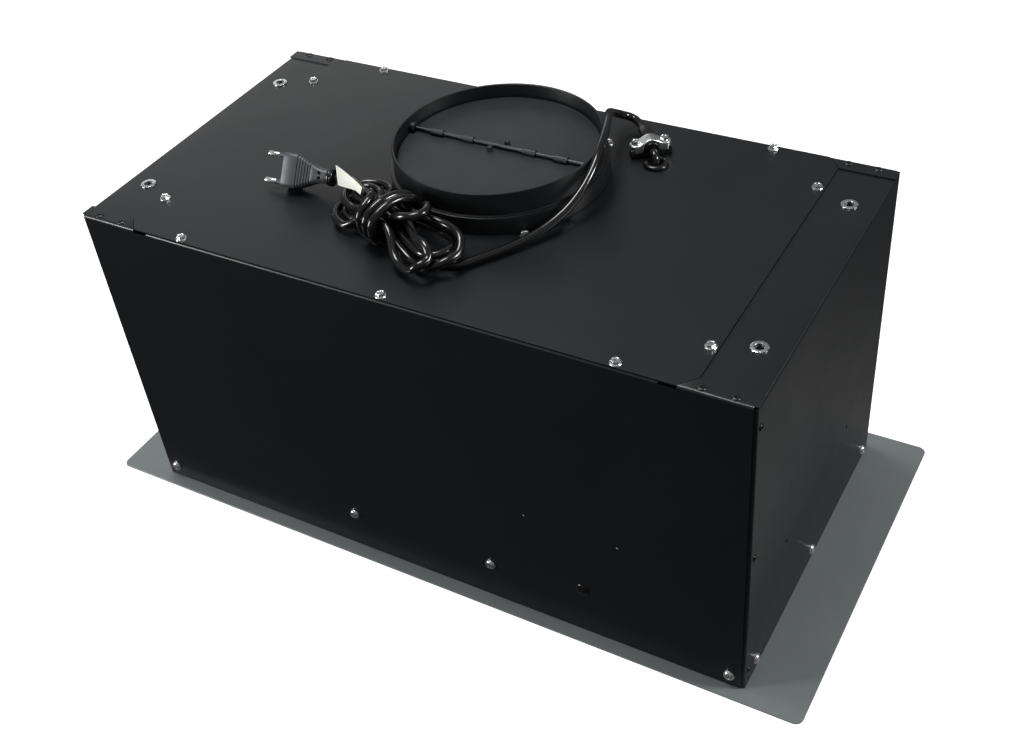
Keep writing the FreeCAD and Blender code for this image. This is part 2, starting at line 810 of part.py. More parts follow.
# ---------------------------------------------------------------- collar and damper
def make_duct_collar():
    """Plastic collar with a stop ledge, a pivot cup at each end of the damper pin and a latch tab."""
    spigot = collar_hole_radius - spigot_play
    bore_low = spigot - spigot_inset
    ledge_top = damper_axis_height - flap_drop - flap_sheet - ledge_gap
    outline = [
        (bore_low, -sheet), (spigot, -sheet), (spigot, 0), (band_radius, 0), (band_radius, band_height),
        (duct_radius, band_height), (duct_radius, collar_height), (collar_bore, collar_height),
        (collar_bore, ledge_top), (collar_bore - ledge_width, ledge_top),
        (collar_bore - ledge_width, ledge_top - ledge_thick), (collar_bore, ledge_top - ledge_thick),
        (collar_bore, collar_foot), (bore_low, collar_foot),
    ]
    centre = (0, collar_centre_y, top_z)
    pieces = [turned(outline, centre, (0, 0, 1))]
    span = collar_bore + collar_wall / 2
    inside = rod((0, collar_centre_y, top_z), (0, 0, 1), span, collar_height)
    for s in (-1, 1):
        start = (s * (collar_bore - cup_length), damper_y, damper_z)
        pieces.append(rod(start, (s, 0, 0), cup_radius, cup_length + collar_wall).common(inside))
    tab = block(band_radius - 1, band_radius + latch_tab_reach, -latch_tab_width / 2, latch_tab_width / 2,
                latch_tab_low, latch_tab_high)
    tab.Placement = FreeCAD.Placement(V(*centre), FreeCAD.Rotation(V(0, 0, 1), latch_tab_angle))
    pieces.append(tab)
    bore = rod((-(collar_bore - cup_floor), damper_y, damper_z), (1, 0, 0), damper_pin_radius + damper_pin_play,
               2 * (collar_bore - cup_floor))
    return fused(pieces).cut(bore)


def make_damper_flap(side):
    """Front (-1) or rear (+1) half-moon flap with two knuckles round the pin and a stop lug."""
    radius = collar_bore - flap_rim_gap
    low = -flap_drop - flap_sheet
    disc = Part.makeCylinder(radius, flap_sheet, V(0, 0, low))
    half = block(-radius, radius, *sorted((side * flap_split, side * 2 * radius)), low - 1, low + flap_sheet + 1)
    plate = disc.common(half)
    own = rear_knuckle_x if side > 0 else front_knuckle_x
    other = front_knuckle_x if side > 0 else rear_knuckle_x
    notch_half = knuckle_width / 2 + knuckle_notch_gap
    notch_deep = side * (knuckle_radius + knuckle_notch_gap)
    cuts = []
    knuckles = []
    cup_x = collar_bore - cup_length - cup_notch_gap
    for s in (-1, 1):
        cuts.append(block(s * other - notch_half, s * other + notch_half, *sorted((0, notch_deep)), low - 1, 0))
        cup_deep = side * (cup_radius + cup_notch_gap)
        cuts.append(block(*sorted((s * cup_x, s * 2 * radius)), *sorted((0, cup_deep)), low - 1, 0))
        knuckles.append(rod((s * own - knuckle_width / 2, 0, 0), (1, 0, 0), knuckle_radius, knuckle_width))
    lug_x = side * stop_lug_x
    lug = block(lug_x - stop_lug_width / 2, lug_x + stop_lug_width / 2,
                *sorted((side * stop_lug_near, side * stop_lug_far)), -flap_drop - flap_sheet / 2, stop_lug_rise)
    flap = fused([drilled(plate, cuts), lug] + knuckles)
    bore = rod((-radius, 0, 0), (1, 0, 0), damper_pin_radius + damper_pin_play, 2 * radius)
    flap = flap.cut(bore)
    flap.translate(V(0, damper_y, damper_z))
    return flap


def make_damper_pin():
    """Fixed pin that both flaps turn on."""
    half = collar_bore - 2 * cup_floor
    return rod((-half, damper_y, damper_z), (1, 0, 0), damper_pin_radius, 2 * half)


# ---------------------------------------------------------------- blower
def scroll_point(angle, inset):
    """A point of the scroll's spiral in Y and Z."""
    growth = (scroll_outlet_radius - scroll_least_radius) / (360.0 - tongue_angle)
    radius = scroll_least_radius + growth * (angle - tongue_angle) - inset
    a = math.radians(angle)
    return V(0, scroll_axis_y + radius * math.cos(a), scroll_z + radius * math.sin(a))


def scroll_face(inset, x):
    """The scroll's outline as a face at x, drawn inward by inset."""
    top = under_top - scroll_sheet
    last = tongue_angle - 1.2 * inset
    count = 10
    edges = []
    wall_top = V(0, outlet_rear_y - inset, top)
    wall_foot = scroll_point(360.0, inset)
    edges.append(Part.LineSegment(wall_top, wall_foot).toShape())
    step = (360.0 - last) / count
    for k in range(count):
        a = 360.0 - k * step
        b = a - step
        middle = scroll_point((a + b) / 2, inset)
        edges.append(Part.Arc(scroll_point(a, inset), middle, scroll_point(b, inset)).toShape())
    front_top = V(0, outlet_front_y + inset, top)
    edges.append(Part.LineSegment(scroll_point(last, inset), front_top).toShape())
    edges.append(Part.LineSegment(front_top, wall_top).toShape())
    face = Part.Face(Part.Wire(edges))
    face.translate(V(x, 0, 0))
    return face


def make_scroll_wrap():
    """Curved wall of the scroll with the flange that hangs it from the top plate."""
    width = 2 * cheek_inner
    wall = scroll_face(0, -cheek_inner).extrude(V(width, 0, 0))
    passage = scroll_face(scroll_sheet, -cheek_inner - 1).extrude(V(width + 2, 0, 0))
    low = under_top - scroll_sheet
    flange = block(-scroll_flange_half_x, scroll_flange_half_x, outlet_front_y - scroll_flange_front,
                   outlet_rear_y + scroll_flange_rear, low, under_top)
    mouth = block(-cheek_inner, cheek_inner, outlet_front_y + scroll_sheet, outlet_rear_y - scroll_sheet,
                  low - 1, under_top + 1)
    circle = rod((0, collar_centre_y, low - 1), (0, 0, 1), collar_hole_radius - flange_hole_inset, 3 * scroll_sheet)
    cuts = [mouth.common(circle)]
    for x, y in blower_screw_places:
        cuts.append(rod((x, y, low - 1), (0, 0, 1), clearance_hole, 3 * scroll_sheet))
    return fused([wall.cut(passage), drilled(flange, cuts)])


def motor_screw_spots():
    """Places of the bracket feet's screws on the right cheek."""
    spots = []
    for angle in bracket_arm_angles:
        a = math.radians(angle)
        radius = bracket_arm_radius + bracket_sheet + bracket_foot_reach / 2
        spots.append((scroll_axis_y + radius * math.cos(a), scroll_z + radius * math.sin(a)))
    return spots


def make_scroll_cheek(side):
    """Flat side of the scroll with its inlet hole."""
    x0, x1 = sorted((side * cheek_inner, side * scroll_half_width))
    cheek = scroll_face(0, x0).extrude(V(x1 - x0, 0, 0))
    cuts = [rod((x0 - 1, scroll_axis_y, scroll_z), (1, 0, 0), inlet_radius, 3 * scroll_sheet)]
    if side > 0:
        for y, z in motor_screw_spots():
            cuts.append(rod((x0 - 1, y, z), (1, 0, 0), clearance_hole, 3 * scroll_sheet))
    return drilled(cheek, cuts)


def make_inlet_rings():
    """Flared rings round both inlets."""
    flange_radius = inlet_radius + inlet_ring_width
    throat_wall = inlet_throat + inlet_ring_sheet
    outline = [
        (inlet_throat, -inlet_lip_depth), (throat_wall, -inlet_lip_depth), (throat_wall, 0),
        (flange_radius, 0), (flange_radius, inlet_ring_sheet), (inlet_throat, inlet_ring_sheet),
    ]
    return [
        turned(outline, (s * scroll_half_width, scroll_axis_y, scroll_z), (s, 0, 0)) for s in (-1, 1)
    ]


def on_wheel(solid):
    """Moves a solid drawn from the wheel's left end along X to its place."""
    solid.translate(V(-wheel_half_width, scroll_axis_y, scroll_z))
    return solid


def make_wheel_blades():
    """Forward-curved blades between the wheel's end rings, through the slots of its disc."""
    tip_radius = wheel_radius - blade_sheet
    middle_radius = (blade_root_radius + tip_radius) / 2
    bow = math.radians(blade_sweep)
    lift = blade_sheet / middle_radius
    length = 2 * (wheel_half_width - wheel_ring_thick)
    blades = []
    for k in range(blade_count):
        a = 2 * math.pi * k / blade_count
        turns = ((blade_root_radius, a), (middle_radius, a + bow * 0.2), (tip_radius, a + bow))
        inner = [V(0, r * math.cos(t), r * math.sin(t)) for r, t in turns]
        outer = [V(0, r * math.cos(t + lift), r * math.sin(t + lift)) for r, t in turns]
        edges = [
            Part.Arc(*inner).toShape(), Part.LineSegment(inner[2], outer[2]).toShape(),
            Part.Arc(*outer[::-1]).toShape(), Part.LineSegment(outer[0], inner[0]).toShape(),
        ]
        blade = Part.Face(Part.Wire(edges)).extrude(V(length, 0, 0))
        blade.translate(V(wheel_ring_thick, 0, 0))
        blades.append(on_wheel(blade))
    return blades


def make_wheel_rings():
    """End rings that hold the ends of the blades."""
    rings = []
    for x in (0.0, 2 * wheel_half_width - wheel_ring_thick):
        ring = rod((x, 0, 0), (1, 0, 0), wheel_radius, wheel_ring_thick)
        bore = rod((x - 1, 0, 0), (1, 0, 0), wheel_radius - wheel_ring_width, wheel_ring_thick + 2)
        rings.append(on_wheel(ring.cut(bore)))
    return rings


def make_wheel_disc():
    """Middle disc and hub of the double-inlet wheel, with a slot for each blade."""
    disc = rod((wheel_half_width - wheel_disc / 2, 0, 0), (1, 0, 0), wheel_radius, wheel_disc)
    hub = rod((wheel_half_width - hub_half_length, 0, 0), (1, 0, 0), hub_radius, 2 * hub_half_length)
    bore = rod((-1, 0, 0), (1, 0, 0), shaft_radius + shaft_play, 2 * wheel_half_width + 2)
    return drilled(on_wheel(fused([disc, hub]).cut(bore)), make_wheel_blades())


def make_motor_shaft():
    """Shaft from the motor's bearing through the wheel's hub."""
    end = motor_start - motor_boss_length + bearing_depth - 1
    return rod((-shaft_tail, scroll_axis_y, scroll_z), (1, 0, 0), shaft_radius, shaft_tail + end)


def make_motor_body():
    """Motor can with a bearing boss."""
    nose = motor_start - motor_boss_length
    can = rod((motor_start, scroll_axis_y, scroll_z), (1, 0, 0), motor_radius, motor_length)
    boss = rod((nose, scroll_axis_y, scroll_z), (1, 0, 0), motor_boss_radius, motor_boss_length + 1)
    bore = rod((nose - 1, scroll_axis_y, scroll_z), (1, 0, 0), shaft_radius + shaft_play, bearing_depth + 1)
    return fused([can, boss]).cut(bore)


def make_motor_bracket():
    """Three-armed bracket from the motor's back to the right cheek."""
    back = motor_start + motor_length
    ring = rod((back, 0, 0), (1, 0, 0), motor_radius, bracket_sheet)
    pieces = [ring]
    half = bracket_arm_width / 2
    outer = bracket_arm_radius + bracket_sheet
    for angle in bracket_arm_angles:
        arm = block(back, back + bracket_sheet, motor_radius / 2, outer, -half, half)
        leg = block(scroll_half_width, back + bracket_sheet, bracket_arm_radius, outer, -half, half)
        foot = block(scroll_half_width, scroll_half_width + bracket_sheet, bracket_arm_radius,
                     outer + bracket_foot_reach, -half, half)
        limb = fused([arm, leg, foot])
        spot = outer + bracket_foot_reach / 2
        limb = limb.cut(rod((scroll_half_width - 1, spot, 0), (1, 0, 0), clearance_hole, bracket_sheet + 2))
        limb.rotate(V(0, 0, 0), V(1, 0, 0), angle)
        pieces.append(limb)
    bracket = fused(pieces).cut(rod((back - 1, 0, 0), (1, 0, 0), bracket_eye_radius, bracket_sheet + 2))
    bracket.translate(V(0, scroll_axis_y, scroll_z))
    return bracket


def make_motor_screws():
    """Screws through the bracket's feet."""
    seat = scroll_half_width + bracket_sheet
    return [hex_screw((seat, y, z), (1, 0, 0), motor_screw_length) for y, z in motor_screw_spots()]


# ---------------------------------------------------------------- electrics
def make_capacitor():
    """Run capacitor beside the left cheek."""
    x = -(scroll_half_width + clip_sheet + capacitor_radius)
    can = rod((x, capacitor_y, capacitor_foot), (0, 0, 1), capacitor_radius, capacitor_length)
    tabs = [
        block(x - 1.5, x + 1.5, capacitor_y + s * 5 - 0.4, capacitor_y + s * 5 + 0.4,
              capacitor_foot + capacitor_length - 1, capacitor_foot + capacitor_length + 6) for s in (-1, 1)
    ]
    return fused([can] + tabs)


def make_capacitor_clip():
    """Sheet clip that holds the capacitor on the left cheek."""
    x = -(scroll_half_width + clip_sheet + capacitor_radius)
    low = capacitor_foot + (capacitor_length - clip_height) / 2
    band = rod((x, capacitor_y, low), (0, 0, 1), capacitor_radius + clip_sheet, clip_height)
    strap = block(-scroll_half_width - clip_sheet, -scroll_half_width, capacitor_y - clip_half_width,
                  capacitor_y + clip_half_width, low, low + clip_height)
    hollow = rod((x, capacitor_y, low - 1), (0, 0, 1), capacitor_radius, clip_height + 2)
    return fused([band, strap]).cut(hollow)


def make_terminal_box():
    """Sheet box under the top plate, open at the top and at the lid."""
    x1 = terminal_box_near + terminal_box_length
    y1 = terminal_box_front + terminal_box_depth
    low = under_top - terminal_box_height
    outer = block(terminal_box_near, x1, terminal_box_front, y1, low, under_top)
    inner = block(terminal_box_near + sheet, x1 - sheet, terminal_box_front + sheet, y1 - sheet, low - 1, under_top + 1)
    return outer.cut(inner)


def make_terminal_box_lid():
    """Lid under the terminal box."""
    low = under_top - terminal_box_height
    return block(terminal_box_near, terminal_box_near + terminal_box_length, terminal_box_front,
                 terminal_box_front + terminal_box_depth, low - terminal_lid_sheet, low)


def make_terminal_block():
    """Screw terminal block on the lid, under the lead's end."""
    low = under_top - terminal_box_height
    body = block(grommet_x - terminal_block_length / 2, grommet_x + terminal_block_length / 2,
                 grommet_y - terminal_block_depth / 2, grommet_y + terminal_block_depth / 2,
                 low, low + terminal_block_height)
    wells = []
    for s in (-1, 1):
        for t in (-1, 1):
            place = (grommet_x + s * 9, grommet_y + t * 6, low + terminal_block_height - 4)
            wells.append(rod(place, (0, 0, 1), 2.0, 5))
    return drilled(body, wells)


# ---------------------------------------------------------------- lamps and controls
def make_lamp_housing(side):
    """Lamp can standing on the face plate."""
    flange_top_z = plate_sheet + lamp_flange_thick
    outline = [
        (lamp_can_radius - lamp_wall, plate_sheet), (lamp_flange_radius, plate_sheet),
        (lamp_flange_radius, flange_top_z), (lamp_can_radius, flange_top_z),
        (lamp_can_radius, plate_sheet + lamp_can_height), (0, plate_sheet + lamp_can_height),
        (0, plate_sheet + lamp_can_height - lamp_wall),
        (lamp_can_radius - lamp_wall, plate_sheet + lamp_can_height - lamp_wall),
    ]
    return turned(outline, (side * lamp_x, lamp_y, 0), (0, 0, 1))


def make_lamp_lenses():
    """Lenses in the plate's lamp holes, seated under the cans' flanges."""
    return [rod((side * lamp_x, lamp_y, lamp_lens_recess), (0, 0, 1), lamp_hole_radius - lamp_lens_gap,
                plate_sheet - lamp_lens_recess) for side in (-1, 1)]


def make_control_bezel():
    """Bezel in the face plate's slot with a flange on the plate and a hole for each button."""
    half = bezel_length / 2
    deep = bezel_depth / 2
    body = block(-half, half, bezel_y - deep, bezel_y + deep, bezel_recess, bezel_top)
    flange = block(-half - bezel_flange, half + bezel_flange, bezel_y - deep - bezel_flange,
                   bezel_y + deep + bezel_flange, plate_sheet, plate_sheet + bezel_flange_thick)
    hole = button_size / 2 + button_play
    cuts = [block(x - hole, x + hole, bezel_y - hole, bezel_y + hole, -1, bezel_top + 1) for x in button_places]
    return drilled(fused([body, flange]), cuts)


def make_push_button(x):
    """Push button with a stop flange and a stem."""
    half = button_size / 2
    wide = half + button_flange
    thin = stem_size / 2
    cap = block(x - half, x + half, bezel_y - half, bezel_y + half, button_recess, button_flange_z)
    flange = block(x - wide, x + wide, bezel_y - wide, bezel_y + wide, button_flange_z, stem_foot)
    stem = block(x - thin, x + thin, bezel_y - thin, bezel_y + thin, stem_foot, stem_foot + stem_length)
    return fused([cap, flange, stem])


def make_switch_block():
    """Switch block above the buttons with a pocket for each stem."""
    half = bezel_length / 2
    deep = bezel_depth / 2
    body = block(-half, half, bezel_y - deep, bezel_y + deep, switch_foot, switch_foot + switch_height)
    hole = stem_size / 2 + stem_play
    pocket_top = stem_foot + stem_length + button_travel + stem_pocket_over
    cuts = [block(x - hole, x + hole, bezel_y - hole, bezel_y + hole, switch_foot - 1, pocket_top)
            for x in button_places]
    return drilled(body, cuts)


def make_switch_bracket():
    """Bracket from the front panel over the switch block."""
    back = front_y + sheet
    shelf_z = switch_foot + switch_height
    web = block(-switch_bracket_half, switch_bracket_half, back, back + switch_bracket_sheet,
                rim_top + switch_bracket_gap, switch_bracket_top)
    shelf = block(-switch_shelf_half, switch_shelf_half, back, bezel_y + bezel_depth / 2,
                  shelf_z, shelf_z + switch_bracket_sheet)
    cuts = [rod((x, back - 1, bracket_screw_z), (0, 1, 0), clearance_hole, 4 * sheet) for x in bracket_screw_xs]
    return drilled(fused([web, shelf]), cuts)


# ---------------------------------------------------------------- grease filter
def make_filter_frame():
    """Filter frame with rear hooks that lie over the face plate and a notch for the finger pull."""
    half = filter_length / 2
    outer = block(-half, half, filter_front, filter_rear, filter_recess, filter_top)
    inner = block(-half + filter_border, half - filter_border, filter_front + filter_border,
                  filter_rear - filter_border, filter_recess - 1, filter_top + 1)
    hook_z = plate_sheet + hook_lift
    pieces = [outer.cut(inner)]
    for s in (-1, 1):
        pieces.append(block(s * hook_x - hook_width / 2, s * hook_x + hook_width / 2, filter_rear - 1,
                            opening_rear + hook_reach, hook_z, hook_z + hook_sheet))
    notch = block(-pull_half, pull_half, filter_front + pull_inset, filter_front + filter_border + 1,
                  filter_recess - 1, filter_top + 1)
    return fused(pieces).cut(notch)


def make_finger_pull():
    """Cup in the filter's front edge with a lip for the fingertips."""
    near = filter_front + pull_inset
    far = filter_front + pull_depth
    cup = block(-pull_half, pull_half, near, far, filter_recess, filter_top)
    well_half = pull_half - pull_wall
    well_near = near + pull_wall
    well_far = far - pull_wall
    well_top = filter_top - pull_floor
    mouth = block(-well_half, well_half, well_near + pull_lip, well_far, filter_recess - 1, well_top)
    well = block(-well_half, well_half, well_near, well_far, filter_recess + pull_lip_height, well_top)
    return drilled(cup, [mouth, well])


def make_filter_mesh():
    """Expanded mesh in the filter frame, with its strands between diamond openings."""
    half = filter_length / 2 - filter_border
    near = filter_front + filter_border
    far = filter_rear - filter_border
    low = filter_recess + (filter_height - mesh_sheet) / 2
    sheet_solid = block(-half, half, near, far, low, low + mesh_sheet)
    pitch_x = 2 * (half - mesh_strand) / mesh_columns
    pitch_y = (far - near - 2 * mesh_strand) / mesh_rows
    pull_rear = filter_front + pull_depth
    holes = []
    for i in range(mesh_columns):
        for j in range(mesh_rows):
            x = -half + mesh_strand + (i + 0.5) * pitch_x
            y = near + mesh_strand + (j + 0.5) * pitch_y
            beside_pull = abs(x) < pull_half + pitch_x / 2 and y < pull_rear + pitch_y / 2
            if not beside_pull:
                a = pitch_x / 2 - mesh_strand / 2
                b = pitch_y / 2 - mesh_strand / 2
                holes.append(prism([(x - a, y), (x, y - b), (x + a, y), (x, y + b)], "z", low - 1, low + mesh_sheet + 1))
    notch = block(-pull_half, pull_half, near - 1, pull_rear, low - 1, low + mesh_sheet + 1)
    return drilled(sheet_solid, holes + [notch])


def make_filter_catches():
    """Round-nosed catches on the rails that the filter's front corners press past."""
    catches = []
    reach = filter_gap - catch_gap
    outline = [
        (0, 0), (catch_radius, 0), (catch_radius, reach * 0.3), (catch_radius * 0.6, reach * 0.85), (0, reach),
    ]
    for s in (-1, 1):
        place = (s * opening_half, filter_front + catch_from_front, filter_recess + filter_height / 2)
        catches.append(turned(outline, place, (-s, 0, 0)))
    return catches


# ---------------------------------------------------------------- winding
def biarc(start, start_way, end, end_way):
    """Two arcs that join two points along the given directions, with their radii."""
    span = end - start
    ways = start_way + end_way
    turn = 1 - start_way.dot(end_way)
    if turn < 1e-9:
        reach = span.dot(span) / (4 * span.dot(start_way))
    else:
        reach = (math.sqrt(span.dot(ways) ** 2 + 2 * turn * span.dot(span)) - span.dot(ways)) / (2 * turn)
    first_corner = start + start_way * reach
    second_corner = end - end_way * reach
    joint = (first_corner + second_corner) * 0.5
    edges = []
    radii = []
    for a, corner, b in ((start, first_corner, joint), (joint, second_corner, end)):
        middle = (a + b) * 0.5
        rise = corner - middle
        if rise.Length < 0.002:
            edges.append(Part.LineSegment(a, b).toShape())
        else:
            half = math.atan2(rise.Length, (b - a).Length / 2)
            radius = reach / math.tan(half)
            crown = middle + rise.normalize() * (radius * (1 - math.cos(half)))
            edges.append(Part.Arc(a, crown, b).toShape())
            radii.append(radius)
    return edges, radii


def wound(stations, radius):
    """A round wire along biarcs through stations of point and direction, with the path and least radius."""
    edges = []
    radii = []
    for (a, way_a), (b, way_b) in zip(stations, stations[1:]):
        more, bends = biarc(a, way_a, b, way_b)
        edges += more
        radii += bends
    path = Part.Wire(edges)
    ring = Part.Wire([Part.Circle(stations[0][0], stations[0][1], radius).toShape()])
    return path.makePipeShell([ring], True, False), path, min(radii)


def least_gap(path, diameter, step):
    """The least gap of a wound wire to itself, measured on points."""
    points = []
    for edge in path.Edges:
        count = max(2, int(edge.Length / step))
        low, high = edge.ParameterRange
        for k in range(count):
            p = edge.valueAt(low + (high - low) * k / count)
            points.append((p.x, p.y, p.z))
    travel = [0.0]
    for a, b in zip(points, points[1:]):
        travel.append(travel[-1] + math.dist(a, b))
    least = 1e9
    for i, p in enumerate(points):
        for j in range(i + 1, len(points)):
            if travel[j] - travel[i] > 2.6 * diameter:
                least = min(least, math.dist(p, points[j]))
    return least - diameter


# ---------------------------------------------------------------- mains lead
def over_plate(point):
    """A point given with its height over the top plate."""
    return V(point[0], point[1], top_z + point[2])


def tube_path(points):
    """Straight runs joined by arcs as large as the two runs allow."""
    edges = []
    radii = []
    last = points[0]
    for before, corner, after in zip(points, points[1:], points[2:]):
        way_in = (corner - before).normalize()
        way_out = (after - corner).normalize()
        turn = math.acos(max(-1.0, min(1.0, way_in.dot(way_out))))
        tangent = 0.45 * min((corner - before).Length, (after - corner).Length)
        radius = tangent / math.tan(turn / 2)
        radii.append(radius)
        arc_start = corner - way_in * tangent
        arc_end = corner + way_out * tangent
        inward = (way_out - way_in).normalize()
        crown = corner + inward * (radius / math.cos(turn / 2) - radius)
        edges.append(Part.LineSegment(last, arc_start).toShape())
        edges.append(Part.Arc(arc_start, crown, arc_end).toShape())
        last = arc_end
    edges.append(Part.LineSegment(last, points[-1]).toShape())
    return Part.Wire(edges), radii


def tube(name, points, diameter):
    """A round tube along a route, with its radii and its volume check printed."""
    path, radii = tube_path(points)
    way = (points[1] - points[0]).normalize()
    ring = Part.Wire([Part.Circle(points[0], way, diameter / 2).toShape()])
    solid = path.makePipeShell([ring], True, False)
    share = solid.Volume / (path.Length * math.pi * diameter ** 2 / 4)
    print(name + ": length %.1f, volume share %.4f" % (path.Length, share))
    print(name + ": radii " + " ".join("%.1f" % r for r in radii))
    return solid


def plug_frame():
    """The plug's axes: along the pins, across the thickness, along the line of the pins."""
    a = math.radians(plug_turn)
    rise = math.radians(plug_rise)
    ahead = V(math.cos(a) * math.cos(rise), math.sin(a) * math.cos(rise), math.sin(rise))
    level = V(0, 0, 1).cross(ahead).normalize()
    upright = ahead.cross(level)
    lean = math.radians(plug_lean)
    pins = upright * math.cos(lean) - level * math.sin(lean)
    across = pins.cross(ahead)
    return ahead, across, pins


def on_plug(solid):
    """Moves a solid drawn with the neck at the origin and the pins along X to the plug's place."""
    ahead, across, pins = plug_frame()
    place = over_plate(plug_neck)
    move = FreeCAD.Matrix(
        ahead.x, across.x, pins.x, place.x,
        ahead.y, across.y, pins.y, place.y,
        ahead.z, across.z, pins.z, place.z,
        0, 0, 0, 1,
    )
    placed = solid.copy()
    placed.Placement = FreeCAD.Placement(move).multiply(placed.Placement)
    return placed


def rounded_ring(x, thick, width, corner):
    """A rounded rectangle across X."""
    a = thick / 2
    b = width / 2
    r = corner
    d = r * (1 - math.sqrt(0.5))
    edges = [
        Part.LineSegment(V(x, -a + r, -b), V(x, a - r, -b)).toShape(),
        Part.Arc(V(x, a - r, -b), V(x, a - d, -b + d), V(x, a, -b + r)).toShape(),
        Part.LineSegment(V(x, a, -b + r), V(x, a, b - r)).toShape(),
        Part.Arc(V(x, a, b - r), V(x, a - d, b - d), V(x, a - r, b)).toShape(),
        Part.LineSegment(V(x, a - r, b), V(x, -a + r, b)).toShape(),
        Part.Arc(V(x, -a + r, b), V(x, -a + d, b - d), V(x, -a, b - r)).toShape(),
        Part.LineSegment(V(x, -a, b - r), V(x, -a, -b + r)).toShape(),
        Part.Arc(V(x, -a, -b + r), V(x, -a + d, -b + d), V(x, -a + r, -b)).toShape(),
    ]
    return Part.Wire(edges)


def make_plug_body():
    """Plug body: front block, ribbed grip, smooth taper and neck."""
    face = plug_length
    block_back = face - plug_block
    neck = plug_neck_diameter
    grip = plug_grip_start
    rings = [
        rounded_ring(0, neck, neck, neck * 0.4),
        rounded_ring(plug_neck_length, neck, neck + 1, neck * 0.4),
        rounded_ring(grip, plug_grip_thick, plug_grip_width, plug_corner),
        rounded_ring(block_back, plug_waist_thick, plug_waist_width, plug_corner),
    ]
    body = Part.makeLoft(rings, True, True)
    front_rings = [
        rounded_ring(block_back - 0.5, plug_thick - 1, plug_width - 1, plug_corner),
        rounded_ring(block_back + 0.5, plug_thick, plug_width, plug_corner),
        rounded_ring(face - 1, plug_thick, plug_width, plug_corner),
        rounded_ring(face, plug_thick - 1.4, plug_width - 1.4, plug_corner),
    ]
    front = Part.makeLoft(front_rings, True, True)
    ribs = []
    for k in range(plug_rib_count):
        x = block_back - 2.2 - k * plug_rib_pitch
        share = (x - grip) / (block_back - grip)
        width = plug_grip_width + (plug_waist_width - plug_grip_width) * share + 2 * plug_rib_height
        thick = plug_grip_thick + (plug_waist_thick - plug_grip_thick) * share + 2 * plug_rib_height
        outline = rounded_ring(x - plug_rib_width / 2, thick, width, plug_corner)
        ribs.append(Part.Face(outline).extrude(V(plug_rib_width, 0, 0)))
    solid = fused([body, front] + ribs)
    sockets = [rod((face - 3, 0, s * pin_span / 2), (1, 0, 0), pin_radius, 4) for s in (-1, 1)]
    return on_plug(drilled(solid, sockets))


def make_plug_pins():
    """Two round pins with insulated roots."""
    pins = []
    face = plug_length
    for s in (-1, 1):
        z = s * pin_span / 2
        root = rod((face - 3, 0, z), (1, 0, 0), pin_radius, 3)
        sleeve = rod((face, 0, z), (1, 0, 0), pin_sleeve_radius, pin_sleeve_length)
        metal = rod((face + pin_sleeve_length, 0, z), (1, 0, 0), pin_radius, pin_length - pin_sleeve_length)
        tip = [e for e in metal.Edges if e.BoundBox.XMin > face + pin_length - 1e-6]
        pins.append(on_plug(fused([root, sleeve, metal.makeChamfer(0.8, tip)])))
    return pins


def make_strain_ring():
    """Round collar at the plug's neck, where the lead comes out."""
    outline = [
        (0, 0), (ring_radius - 1, 0), (ring_radius, 1), (ring_radius, ring_length - 1),
        (ring_radius - 1, ring_length), (0, ring_length),
    ]
    return on_plug(turned(outline, (0, 0, 0), (-1, 0, 0)))


def tail_points():
    """The tail's route with its straight end in line with the plug."""
    ahead = plug_frame()[0]
    end = over_plate(plug_neck) - ahead * ring_length
    return [over_plate(p) for p in tail_route] + [end - ahead * tail_straight, end]


def free_points():
    """The free lead's route from the sleeve's end."""
    return [sleeve_end, sleeve_end + sleeve_way * free_run_out] + [over_plate(p) for p in free_route]


def make_cord_entry():
    """The lead from the terminal block up through the grommet, over into the sleeve and to its end."""
    foot = V(grommet_x, grommet_y, under_top - terminal_box_height + terminal_block_height)
    bend_start = V(grommet_x, grommet_y, sleeve_mouth.z - entry_bend)
    bend_end = V(grommet_x, grommet_y, sleeve_mouth.z) + sleeve_way * entry_bend
    centre = bend_start + sleeve_way * entry_bend
    crown = centre + (V(0, 0, 1) - sleeve_way).normalize() * entry_bend
    path = Part.Wire([
        Part.LineSegment(foot, bend_start).toShape(),
        Part.Arc(bend_start, crown, bend_end).toShape(),
        Part.LineSegment(bend_end, sleeve_end).toShape(),
    ])
    ring = Part.Wire([Part.Circle(foot, V(0, 0, 1), cord_diameter / 2).toShape()])
    return path.makePipeShell([ring], True, False)


def make_cable_grommet():
    """Rubber grommet with a rounded top, a neck in the sheet and a bell mouth."""
    bore = cord_diameter / 2 + cord_play
    bell = grommet_radius - 2.6
    top = grommet_height
    outline = [
        (bore, -sheet - grommet_under), (grommet_radius - 1, -sheet - grommet_under),
        (grommet_radius, -sheet - 1), (grommet_radius, -sheet), (grommet_neck, -sheet), (grommet_neck, 0),
        (grommet_radius - 0.3, 0), (grommet_radius, top * 0.4), (grommet_radius - 0.9, top * 0.85),
        (bell, top), (bell - 1.4, top * 0.85), (bore, 0),
    ]
    return turned(outline, (grommet_x, grommet_y, top_z), (0, 0, 1))


def make_cord_sleeve():
    """Protective sleeve round the lead under the clamp."""
    outer = Part.makeCylinder(sleeve_diameter / 2, sleeve_length, sleeve_mouth, sleeve_way)
    bore = Part.makeCylinder(cord_diameter / 2 + cord_play, sleeve_length + 2, sleeve_mouth - sleeve_way, sleeve_way)
    return outer.cut(bore)


